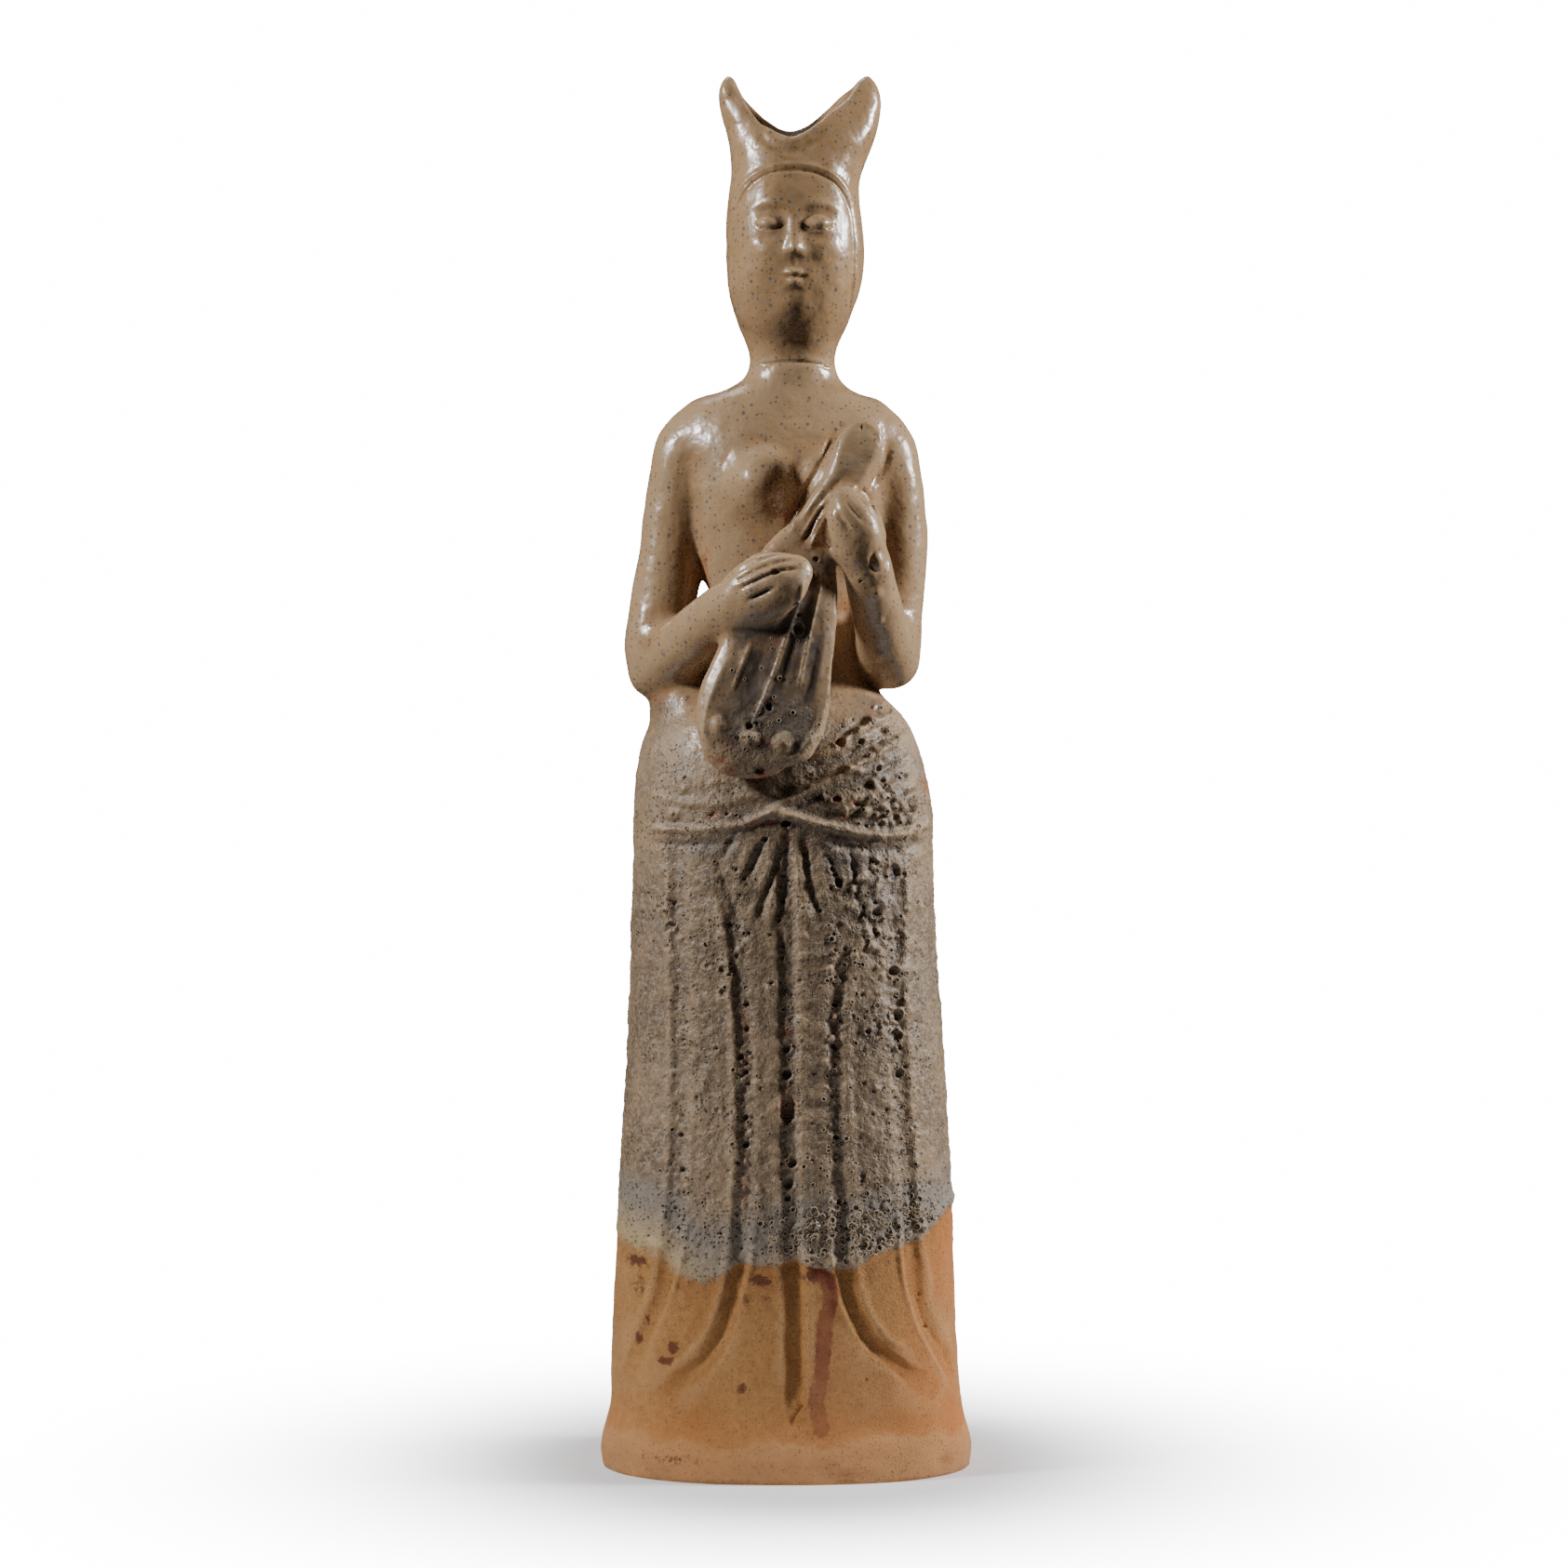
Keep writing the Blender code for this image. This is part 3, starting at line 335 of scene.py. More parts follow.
# The valley's floor as (X, Z), and how much higher the floor lies at each Y.
VALLEY_OUTLINE = [
    (-31, 512), (-19.6, 500.5), (-17.6, 495.0), (-14.8, 489.8), (-9.3, 482.4), (-3.5, 477.8),
    (1.0, 476.6), (5.5, 478.2), (11.0, 482.8), (18.4, 491.4), (22.6, 496.0), (26.0, 501.0),
    (40, 512),
]
VALLEY_TOP = 530.0
VALLEY_RISE = [(-34, 0.0), (-14, 0.0), (-7, -2.2), (1, -1.6), (9, 3.0), (16, 5.6), (34, 6.5)]
HORN_TIPS = [
    [(-21.6, -1.0, 493.2), (3.9, 5.4, 7.4)],
    [(26.9, -1.0, 490.6), (5.9, 5.8, 8.8)],
]
HOOD_STROKES = [
    ([(-14.6, 404), (-18.2, 414), (-20.0, 428), (-19.8, 443), (-18.2, 453), (-13.6, 459.6),
      (-7.0, 463.2), (1.6, 464.4), (10.2, 463.2), (17.2, 459.2), (21.6, 452), (23.0, 442),
      (23.0, 428), (21.4, 414), (18.4, 404)], 1.0, -0.8, 0.0),
    ([(-16.4, 408), (-19.8, 418), (-22.0, 430), (-21.6, 444), (-20.0, 454), (-14.8, 461.6),
      (-7.4, 465.4), (1.6, 466.6), (10.8, 465.4), (18.4, 461.2), (23.2, 453), (24.8, 442),
      (24.6, 430), (23.0, 418), (19.6, 408)], 1.2, 0.45, 0.0),
    ([(-13, 395.4), (-6, 396.4), (2, 396.9), (10, 396.2), (16, 394.8)], 0.9, -0.7, 0.0),
    ([(-20, 496), (-15.6, 489.4), (-10, 483.6), (-4.4, 478.2), (1.0, 475.4), (6.4, 478.4),
      (12, 483.6), (19, 491)], 2.0, 1.0, 0.0),
    ([(-12, 480), (-6, 473.6), (1.0, 471.2), (8, 473.8), (14, 480)], 2.6, -0.7, 0.0),
]


def valley_rings():
    """The clay that was cut away between the horns, from front to back."""
    top = [(VALLEY_OUTLINE[-1][0], VALLEY_TOP), (VALLEY_OUTLINE[0][0], VALLEY_TOP)]
    rings = []
    for y, rise in VALLEY_RISE:
        floor = [(x, z + rise) for x, z in VALLEY_OUTLINE]
        rings.append(np.array([(x, y, z) for x, z in floor + top]))
    return rings


def placed(name, data):
    """An object of this data in the scene."""
    made = bpy.data.objects.new(name, data)
    bpy.context.scene.collection.objects.link(made)
    return made


def made_object(name, clay):
    """A bmesh as an object in the scene, with its faces pointing outwards."""
    bmesh.ops.recalc_face_normals(clay, faces=clay.faces)
    mesh = bpy.data.meshes.new(name)
    clay.to_mesh(mesh)
    clay.free()
    return placed(name, mesh)


def finished_mesh(made):
    """The object's mesh with its modifiers worked out; the object itself is taken away."""
    graph = bpy.context.evaluated_depsgraph_get()
    graph.update()
    mesh = bpy.data.meshes.new_from_object(made.evaluated_get(graph))
    bpy.data.objects.remove(made)
    return mesh


def body_mesh():
    """Skirt, torso and head in one loft, with the valley cut between the horns."""
    sections = SKIRT_SECTIONS + TORSO_SECTIONS + HEAD_SECTIONS
    clay = bmesh.new()
    add_skin(clay, level_rings(sections, np.linspace(sections[0][0], sections[-1][0], BODY_RINGS)))
    body = made_object("body_loft", clay)
    cutter_clay = bmesh.new()
    add_skin(cutter_clay, valley_rings())
    cutter = made_object("valley_cutter", cutter_clay)
    cut = body.modifiers.new("Valley", "BOOLEAN")
    cut.object = cutter
    mesh = finished_mesh(body)
    bpy.data.objects.remove(cutter)
    return mesh


# The face is a plain oval with lowered lids. Its features are set by halves and thirds: eyes
# midway between chin and crown, the nose ending midway between brow and chin.

FACE_CENTRE = 2.0
FACE_FRONT = -25.4
CHIN = 412.5
CROWN = 478.0
EYE_LEVEL = (CHIN + CROWN) / 2
BROW_LEVEL = EYE_LEVEL + 6.0
NOSE_LEVEL = (BROW_LEVEL + CHIN) / 2 + 1.5
MOUTH_LEVEL = NOSE_LEVEL - (NOSE_LEVEL - CHIN) / 3
EYE_WIDTH = 8.4


def nose_shapes():
    """The nose: a roll from between the brows to the tip, and a small ball for each wing."""
    x, y = FACE_CENTRE, FACE_FRONT
    bridge = [
        (x, y + 1.4, BROW_LEVEL - 0.5, 1.6, 1.5), (x, y + 0.3, EYE_LEVEL, 1.6, 1.8),
        (x, y - 1.3, NOSE_LEVEL + 6.0, 2.0, 2.2), (x, y - 2.7, NOSE_LEVEL + 2.6, 2.5, 2.5),
    ]
    wings = [[(x + side * 2.7, y - 0.8, NOSE_LEVEL + 1.9), (1.8, 2.1, 1.7)] for side in (-1, 1)]
    return bridge, wings


FACE_MOUNDS = [
    (FACE_CENTRE, CHIN + 4.5, 9.5, 8.0, 1.3),
    (FACE_CENTRE, MOUTH_LEVEL + 0.6, 11.5, 8.5, 1.6),
    (FACE_CENTRE, MOUTH_LEVEL + 1.5, 4.2, 1.9, 1.0),
    (FACE_CENTRE - 1.4, MOUTH_LEVEL + 2.2, 2.2, 1.6, 0.4),
    (FACE_CENTRE + 1.4, MOUTH_LEVEL + 2.2, 2.2, 1.6, 0.4),
    (FACE_CENTRE, MOUTH_LEVEL - 1.7, 3.7, 2.2, 1.2),
    (FACE_CENTRE, MOUTH_LEVEL - 5.0, 4.5, 2.2, -0.45),
    (FACE_CENTRE, NOSE_LEVEL - 2.2, 1.6, 2.6, -0.35),
]
FACE_STROKES = [
    ([(FACE_CENTRE - 4.3, MOUTH_LEVEL + 0.4), (FACE_CENTRE - 1.6, MOUTH_LEVEL),
      (FACE_CENTRE, MOUTH_LEVEL + 0.2), (FACE_CENTRE + 1.6, MOUTH_LEVEL),
      (FACE_CENTRE + 4.3, MOUTH_LEVEL + 0.4)], 0.85, -0.9, 0.0),
]
for side in (-1, 1):
    eye = FACE_CENTRE + side * EYE_WIDTH * 1.02
    FACE_MOUNDS += [
        (eye - side * 3.6, EYE_LEVEL + 1.0, 5.4, 6.4, -1.1),
        (eye + side * 1.0, EYE_LEVEL + 4.4, 7.4, 3.0, -0.7),
        (eye, EYE_LEVEL - 5.0, 7.0, 2.8, -0.5),
        (eye, EYE_LEVEL + 0.2, 6.6, 4.0, 2.1),
        (FACE_CENTRE + side * 11.0, NOSE_LEVEL + 3.5, 10.5, 13.5, 1.3),
    ]
    FACE_STROKES += [
        ([(eye - side * 5.0, EYE_LEVEL - 0.6), (eye - side * 2.4, EYE_LEVEL - 1.9),
          (eye + side * 1.4, EYE_LEVEL - 2.1), (eye + side * 5.4, EYE_LEVEL - 0.2)], 0.75, -0.8, 0.0),
        ([(eye - side * 4.6, EYE_LEVEL + 1.6), (eye - side * 1.0, EYE_LEVEL + 3.2),
          (eye + side * 3.0, EYE_LEVEL + 2.6), (eye + side * 5.4, EYE_LEVEL + 0.6)], 0.8, -0.5, 0.0),
        ([(FACE_CENTRE + side * 2.4, BROW_LEVEL - 2.0), (eye - side * 3.0, BROW_LEVEL + 1.4),
          (eye + side * 1.6, BROW_LEVEL + 1.9), (eye + side * 6.2, BROW_LEVEL - 0.8)], 3.2, 0.75, 0.0),
    ]


# The lute is a flat pear-shaped slab of clay leaned on the belly and chest, its strings pinched
# up as ridges between raised rims, with three round pads at the foot of the soundboard.

LUTE_STATIONS = [
    (-13.6, -43.6, 252.0, 11.4, 3.2), (-13.6, -43.6, 254.0, 14.7, 4.4),
    (-13.3, -43.6, 256.8, 17.8, 5.2), (-12.4, -43.4, 261.0, 20.6, 5.8),
    (-11.0, -43.1, 267.0, 22.6, 6.0), (-8.9, -42.6, 275.2, 23.3, 6.2),
    (-6.6, -41.9, 284.0, 21.9, 6.0), (-3.3, -40.8, 297.0, 19.4, 5.8),
    (-0.6, -39.6, 309.0, 18.0, 5.6), (2.0, -38.2, 320.0, 16.0, 5.4),
    (4.0, -37.0, 328.0, 12.6, 5.2), (6.2, -34.0, 334.5, 8.0, 7.0),
    (8.4, -34.0, 340.0, 5.2, 7.0), (12.2, -34.0, 346.4, 5.0, 7.0),
    (17.0, -34.0, 351.4, 6.4, 7.0), (19.8, -33.8, 354.8, 7.4, 7.0),
    (22.6, -33.0, 360.4, 8.1, 7.0), (24.6, -32.0, 365.0, 8.6, 7.0),
    (26.6, -30.8, 369.4, 7.0, 6.6), (27.4, -29.6, 371.2, 5.0, 5.6),
]
LUTE_SQUARENESS = 3.2
LUTE_STROKES = [
    # The rim, three strings, and the shallow hollows between them.
    ([(17.2, 313), (17.2, 304), (16.2, 296), (14.2, 284), (12.4, 275), (9.6, 266), (5.4, 259.4),
      (-1.4, 254.4)], 2.4, 0.9, 0.0),
    ([(-21.4, 292), (-26.0, 281), (-29.0, 272), (-29.2, 264), (-25.6, 257.6)], 2.2, 0.7, 0.0),
    ([(-12.6, 298), (-16.7, 288), (-20.3, 279)], 1.1, 0.6, 0.0),
    ([(5.0, 318), (3.0, 310), (-0.5, 300), (-4.2, 289), (-7.6, 280), (-12.2, 269.7)], 1.0, 0.75, 0.0),
    ([(11.6, 319), (8.6, 306), (6.2, 295), (3.4, 281)], 1.0, 0.75, 0.0),
    ([(10.9, 300), (9.2, 291), (6.8, 280), (4.4, 271)], 2.6, -0.5, 0.0),
    ([(3.4, 304), (0.8, 294), (-1.8, 284), (-5.0, 274)], 3.0, -0.45, 0.0),
    ([(-6.2, 300), (-10.6, 288), (-15.4, 276)], 3.2, -0.45, 0.0),
    # The neck has a raised edge, a dished face, a ridge, a cut and a second, thin ridge.
    ([(1.0, 336.0), (4.4, 344.0), (8.9, 351.0), (12.9, 358.0), (15.0, 363.5), (17.0, 369.0),
      (20.0, 373.0), (24.8, 374.0), (29.6, 372.4), (32.8, 367.6), (32.6, 361.8), (29.8, 357.4)],
     1.3, 0.9, 0.0),
    ([(25.4, 366.6), (23.6, 361.6), (20.2, 356.0)], 7.0, -1.9, 0.25),
    ([(20.2, 356.0), (14.6, 350.6), (9.2, 344.0), (4.4, 336.6)], 2.2, -1.1, 0.0),
    ([(16.0, 351.0), (10.6, 343.6), (5.0, 334.0)], 1.0, 0.7, 0.0),
    ([(13.2, 346.4), (9.4, 340.6), (5.4, 332.4)], 1.5, -1.7, 0.0),
    ([(13.4, 342.0), (10.0, 335.6), (7.4, 330.0)], 1.0, 0.9, 0.0),
    ([(26.2, 374.6), (25.6, 370.6)], 1.2, -0.9, 0.0),
]
# The chest is pressed in along the edge of the pegbox, and the neck round the fingertips.
PADDLE_EDGES = [
    ([(-1.0, 337.0), (2.4, 345.0), (7.0, 352.4), (10.9, 359.0), (13.4, 365.0), (16.0, 371.4)],
     2.2, -1.5, 0.0),
    ([(35.4, 368.0), (34.8, 360.8), (31.6, 355.6), (28.6, 351.0)], 2.2, -1.2, 0.0),
    ([(11.2, 338.0), (10.4, 344.6), (13.0, 349.8), (18.6, 353.4), (24.0, 352.6), (28.6, 348.4)],
     1.5, -1.3, 0.0),
]
LUTE_MOUNDS = [
    (-24.6, 267.8, 4.4, 4.4, 1.5),
    (-13.8, 263.6, 4.8, 4.8, 1.5),
    (-2.2, 262.0, 4.8, 4.8, 1.5),
]


# The hands are mittens of clay with the fingers scored in: one lies across the strings, and the
# other holds the neck from the far side. A thin thumb is laid along the top of each.

LEFT_HAND = [
    (-19.2, -42.5, 309.3, 9.6, 7.0), (-14.0, -46.2, 312.2, 11.0, 6.6),
    (-8.6, -48.8, 315.6, 11.8, 6.2), (-2.5, -50.2, 318.9, 11.0, 5.8),
    (2.2, -50.2, 321.4, 8.6, 5.2), (4.2, -49.6, 322.6, 6.2, 4.4),
]
LEFT_THUMB = [
    (-21.0, -43.0, 318.5, 2.6, 3.4), (-16.5, -45.5, 322.6, 2.2, 3.2),
    (-12.0, -46.5, 326.0, 1.7, 2.6), (-8.8, -46.5, 328.4, 1.2, 1.9),
]
RIGHT_HAND = [
    (26.6, -37.5, 325.0, 8.8, 7.6), (24.6, -40.8, 332.0, 9.6, 7.6),
    (22.4, -42.6, 338.8, 9.4, 7.2), (20.4, -42.6, 344.0, 7.8, 6.4),
    (19.4, -42.0, 346.4, 5.8, 5.2),
]
RIGHT_THUMB = [
    (33.0, -36.0, 334.0, 2.2, 4.0), (31.6, -35.0, 340.5, 1.9, 3.6),
    (29.6, -33.5, 345.5, 1.5, 3.0),
]
FINGER_STROKES = [
    ([(-20.0, 320.4), (-13.0, 324.4), (-5.0, 327.4), (0.6, 328.4)], 1.0, -0.6, 0.0),
    ([(-19.0, 317.8), (-12.0, 321.6), (-5.0, 324.4), (2.6, 326.0)], 1.0, -0.8, 0.0),
    ([(-18.0, 315.2), (-11.0, 318.6), (-4.0, 321.4), (3.6, 322.8)], 1.1, -1.0, 0.0),
    ([(-14.6, 311.4), (-10.0, 313.6), (-5.4, 315.6)], 1.2, -1.3, 0.0),
    ([(15.6, 344.0), (18.6, 339.6), (22.6, 334.0)], 1.4, -0.9, 0.0),
    ([(19.8, 347.2), (23.0, 343.0), (26.4, 338.6)], 1.3, -0.65, 0.0),
    ([(23.8, 348.8), (27.0, 345.0), (30.4, 340.6)], 1.2, -0.7, 0.0),
    ([(31.7, 329.1), (34.2, 327.6), (34.7, 324.8), (33.6, 322.0), (31.4, 321.2), (29.4, 322.6),
      (28.8, 325.6), (29.8, 328.2), (31.7, 329.1)], 0.95, -0.6, 0.0),
]


# The clay parts were luted together and wiped over with a wet hand, so the figure is one closed
# skin with soft joins, cut off level below the foot.

CLAY_GRAIN = 0.62 * UNIT
WIPING_ROUNDS = 70
NECK_SEAM = 396.4
BODY_TRIANGLES = 190000
HEAD_TRIANGLES = 80000


def joined_clay():
    """Every part laid over its neighbours, as one object."""
    clay = bmesh.new()
    clay.from_mesh(body_mesh())
    add_skin(clay, foot_rings())
    bridge, wings = nose_shapes()
    limbs = [LEFT_UPPER_ARM, LEFT_FOREARM, RIGHT_UPPER_ARM, RIGHT_FOREARM, LEFT_HAND, LEFT_THUMB,
             RIGHT_HAND, RIGHT_THUMB, bridge]
    for stations in limbs:
        add_skin(clay, roll_rings(stations))
    add_skin(clay, roll_rings(LUTE_STATIONS, LUTE_SQUARENESS))
    for centre, half_sizes in TORSO_SWELLINGS + HORN_TIPS + wings:
        add_skin(clay, ball_rings(centre, half_sizes))
    return made_object("joined_clay", clay)


def points_and_normals(mesh):
    """The mesh's points in units, and its normals."""
    count = len(mesh.vertices)
    points = np.empty(count * 3, np.float32)
    normals = np.empty(count * 3, np.float32)
    mesh.vertices.foreach_get("co", points)
    mesh.vertices.foreach_get("normal", normals)
    return points.reshape(-1, 3).astype(float) / UNIT, normals.reshape(-1, 3).astype(float)


def set_attribute(mesh, name, values):
    """Stores one number for each of the mesh's points."""
    stored = mesh.attributes.get(name) or mesh.attributes.new(name, "FLOAT", "POINT")
    stored.data.foreach_set("value", np.ascontiguousarray(values, np.float32))


class NodeTree:
    """A tree of nodes, with short ways to add and join them."""

    def __init__(self, tree):
        self.tree = tree

    def put(self, socket, value):
        """Joins an output to a socket, or sets the socket's own value."""
        if isinstance(value, bpy.types.NodeSocket):
            self.tree.links.new(value, socket)
        else:
            socket.default_value = value

    def add(self, kind, inputs, **settings):
        """A new node with these settings, and with its inputs set or joined by their names."""
        node = self.tree.nodes.new(kind)
        for name, value in settings.items():
            setattr(node, name, value)
        for name, value in inputs.items():
            self.put(node.inputs[name], value)
        return node

    def math(self, operation, *values):
        """What one operation makes of these values."""
        node = self.add("ShaderNodeMath", {}, operation=operation)
        for socket, value in zip(node.inputs, values):
            self.put(socket, value)
        return node.outputs[0]

    def product(self, first, *others):
        """All these values multiplied together."""
        for other in others:
            first = self.math("MULTIPLY", first, other)
        return first


class ClayNodes(NodeTree):
    """A geometry node tree for one mesh, with named numbers as its inputs."""

    def __init__(self, name, numbers):
        super().__init__(bpy.data.node_groups.new(name, "GeometryNodeTree"))
        sockets = self.tree.interface
        sockets.new_socket("Geometry", in_out="INPUT", socket_type="NodeSocketGeometry")
        for label, kind in numbers.items():
            sockets.new_socket(label, in_out="INPUT", socket_type=kind)
        sockets.new_socket("Geometry", in_out="OUTPUT", socket_type="NodeSocketGeometry")
        self.start = self.tree.nodes.new("NodeGroupInput")
        self.finish = self.tree.nodes.new("NodeGroupOutput")

    def given(self, name):
        """What comes in under this name."""
        return self.start.outputs[name]

    def attribute(self, name, data_type="FLOAT"):
        """The clay's own attribute of this name."""
        node = self.add("GeometryNodeInputNamedAttribute", {"Name": name}, data_type=data_type)
        return node.outputs["Attribute"]

    def finished(self, geometry):
        """The tree, with this geometry as what it gives back."""
        self.put(self.finish.inputs["Geometry"], geometry)
        return self.tree


def run_nodes(made, tree, numbers):
    """Puts the tree on an object as a modifier, with these numbers in its named inputs."""
    modifier = made.modifiers.new(tree.name, "NODES")
    modifier.node_group = tree
    for item in tree.interface.items_tree:
        if item.in_out == "INPUT" and item.name in numbers:
            modifier[item.identifier] = numbers[item.name]


def wiping_tree():
    """Rubs the skin down, most where the attribute called wiping is highest."""
    nodes = ClayNodes("Wiping", {"Rounds": "NodeSocketInt"})
    place = nodes.add("GeometryNodeInputPosition", {})
    rubbed = nodes.add(
        "GeometryNodeBlurAttribute",
        {"Value": place.outputs["Position"], "Iterations": nodes.given("Rounds"),
         "Weight": nodes.attribute("wiping")},
        data_type="FLOAT_VECTOR"
    )
    moved = nodes.add(
        "GeometryNodeSetPosition",
        {"Geometry": nodes.given("Geometry"), "Position": rubbed.outputs["Value"]}
    )
    return nodes.finished(moved.outputs["Geometry"])


def wiped_over(made):
    """The parts fused into one skin with the joins rubbed smooth."""
    fuse = made.modifiers.new("Fuse", "REMESH")
    fuse.mode = "VOXEL"
    fuse.voxel_size = CLAY_GRAIN
    mesh = finished_mesh(made)
    points, _ = points_and_normals(mesh)
    height = points[:, 2]
    # The waist and torso are rubbed most, skirt and head less, hands and lute hardly at all.
    soft = np.interp(height, [230, 262, 284, 386, 394, 399], [0.35, 0.7, 1.0, 1.0, 0.5, 0.2])
    soft *= np.interp(points[:, 1], [-38, -28], [0.16, 1.0])
    lute_line = [(station[0], station[2]) for station in LUTE_STATIONS]
    near, gap, _ = away_from_line(points[:, [0, 2]], lute_line, 16)
    lute_near = np.interp(gap, [10, 16], [0.16, 1.0])
    soft[near] = np.where(points[near, 1] < -21, np.minimum(soft[near], lute_near), soft[near])
    set_attribute(mesh, "wiping", soft)
    rough = placed("rough_figure", mesh)
    run_nodes(rough, wiping_tree(), {"Rounds": WIPING_ROUNDS})
    return finished_mesh(rough)


def keep_outer_skin(clay):
    """Deletes any small shell that the fusing left inside the clay."""
    unseen = set(clay.verts)
    shells = []
    while unseen:
        shell = [unseen.pop()]
        for vert in shell:
            for edge in vert.link_edges:
                other = edge.other_vert(vert)
                if other in unseen:
                    unseen.discard(other)
                    shell.append(other)
        shells.append(shell)
    shells.sort(key=len)
    for shell in shells[:-1]:
        bmesh.ops.delete(clay, geom=shell, context="VERTS")


def cut_level(clay, level, keep_above):
    """Cuts clay off at a level and closes the cut with one flat face."""
    everything = list(clay.verts) + list(clay.edges) + list(clay.faces)
    cut = bmesh.ops.bisect_plane(
        clay, geom=everything, plane_co=(0, 0, level), plane_no=(0, 0, 1),
        clear_inner=keep_above, clear_outer=not keep_above
    )
    rim = [piece for piece in cut["geom_cut"] if isinstance(piece, bmesh.types.BMEdge)]
    bmesh.ops.edgeloop_fill(clay, edges=rim)


def rounded(share):
    """1 at 0, 0 at 1 and beyond, and smooth all the way."""
    return 0.5 + 0.5 * np.cos(math.pi * np.clip(share, 0, 1))


def away_from_line(places, points, margin):
    """Which places lie near a smooth line, how far from it, and how far from its nearer end."""
    points = np.array(points, float)
    run = np.append(0, np.cumsum(np.linalg.norm(np.diff(points, axis=0), axis=1)))
    line = read_between(run, points, np.linspace(0, run[-1], max(3, int(run[-1] / 2.0))))
    near = (places > line.min(axis=0) - margin).all(axis=1)
    near &= (places < line.max(axis=0) + margin).all(axis=1)
    near = np.nonzero(near)[0]
    gap = np.full(len(near), np.inf)
    along = np.zeros(len(near))
    passed = 0.0
    for start, end in zip(line, line[1:]):
        way = end - start
        length = np.linalg.norm(way)
        offset = places[near] - start
        share = np.clip(offset @ way / (way @ way), 0, 1)
        off = np.linalg.norm(offset - share[:, None] * way, axis=1)
        along = np.where(off < gap, passed + share * length, along)
        gap = np.minimum(gap, off)
        passed += length
    return near, gap, np.minimum(along, passed - along)


class Relief:
    """Heights that strokes, mounds and pits add to the front, each between two values of Y."""

    def __init__(self, points, normals):
        self.points = points
        self.places = points[:, [0, 2]]
        self.facing = np.clip(-normals[:, 1] * 1.6, 0, 1)
        self.height = np.zeros(len(points))

    def within(self, near, foremost, hindmost):
        """The points among these that lie between two values of Y, and which of them those are."""
        depth = self.points[near, 1]
        kept = (depth > foremost) & (depth < hindmost)
        return near[kept], kept

    def stroke(self, drawn, half_width, amount, flat, foremost, hindmost):
        """Raises or cuts along a drawn line, fading towards its ends."""
        near, gap, to_end = away_from_line(self.places, drawn, half_width)
        near, kept = self.within(near, foremost, hindmost)
        share = (gap[kept] / half_width - flat) / (1 - flat)
        taper = 1 - rounded(to_end[kept] / (half_width * 3.0))
        self.height[near] += amount * (0.25 + 0.75 * taper) * rounded(share) * self.facing[near]

    def reach(self, x, z, half_x, half_z, foremost, hindmost, margin=1.0):
        """Which points an oval takes in, and how far out in it each lies: 1 is its edge."""
        offset = self.places - (x, z)
        reach = np.hypot(offset[:, 0] / half_x, offset[:, 1] / half_z)
        near = np.nonzero(reach < margin)[0]
        near, _ = self.within(near, foremost, hindmost)
        return near, reach[near]

    def mound(self, x, z, half_x, half_z, amount, foremost, hindmost):
        """Raises a smooth oval, or sinks it where the amount is below 0."""
        near, reach = self.reach(x, z, half_x, half_z, foremost, hindmost)
        self.height[near] += amount * rounded(reach) * self.facing[near]

    def pit(self, x, z, half_x, half_z, depth, lip, foremost, hindmost):
        """Sinks a flat-floored oval with a raised lip round it."""
        near, reach = self.reach(x, z, half_x, half_z, foremost, hindmost, margin=1.7)
        bowl = np.clip(1 - (reach / 0.95) ** 4, 0, 1)
        rim = np.exp(-((reach - 1.12) / 0.22) ** 2)
        self.height[near] += (lip * rim - depth * bowl) * self.facing[near]


# Strokes, and the foremost and hindmost Y of the clay that they touch.
CARVING = [
    (SKIRT_STROKES, -60.0, -4.0),
    (HEM_CRACKS, -60.0, -4.0),
    (PADDLE_EDGES, -34.0, -8.0),
    (PLEAT_STROKES, -60.0, -4.0),
    (SASH_STROKES, -60.0, -4.0),
    (HOOD_STROKES, -40.0, -1.0),
    (FACE_STROKES, -40.0, -10.0),
    (LUTE_STROKES, -56.0, -30.5),
    (FINGER_STROKES, -62.0, -38.0),
]


def carve_front(relief):
    """Cuts and raises every stroke and mound of the front."""
    for strokes, foremost, hindmost in CARVING:
        for drawn, half_width, amount, flat in strokes:
            relief.stroke(drawn, half_width, amount, flat, foremost, hindmost)
    for mound in LUTE_MOUNDS:
        relief.mound(*mound, -60.0, -38.0)
    for mound in FACE_MOUNDS:
        relief.mound(*mound, -40.0, -10.0)
    for mound in HEM_DENTS:
        relief.mound(*mound, -60.0, -4.0)
    for mound in BREASTS:
        relief.mound(*mound, -28.5, -8.0)


def carve_back(points, normals):
    """How far the plain upright folds of the back cut in."""
    height = np.zeros(len(points))
    facing = np.clip(normals[:, 1] * 1.6, 0, 1)
    low, high = BACK_FOLD_HEIGHTS
    share = np.clip((high - points[:, 2]) / (high - low), 0, 1)
    fading = np.clip((points[:, 2] - low) / 12, 0, 1) * np.clip((high - points[:, 2]) / 12, 0, 1)
    for at_hip, at_hem in BACK_FOLDS:
        gap = np.abs(points[:, 0] - at_hip - (at_hem - at_hip) * share ** 2)
        height -= BACK_FOLD_DEPTH * rounded(gap / BACK_FOLD_WIDTH) * facing * fading
    return height


# Gas burst through the molten glaze in the kiln. Most blisters healed as low domes, others
# stayed open as round pits with a raised lip, largest in the skirt's channels and on the sash.

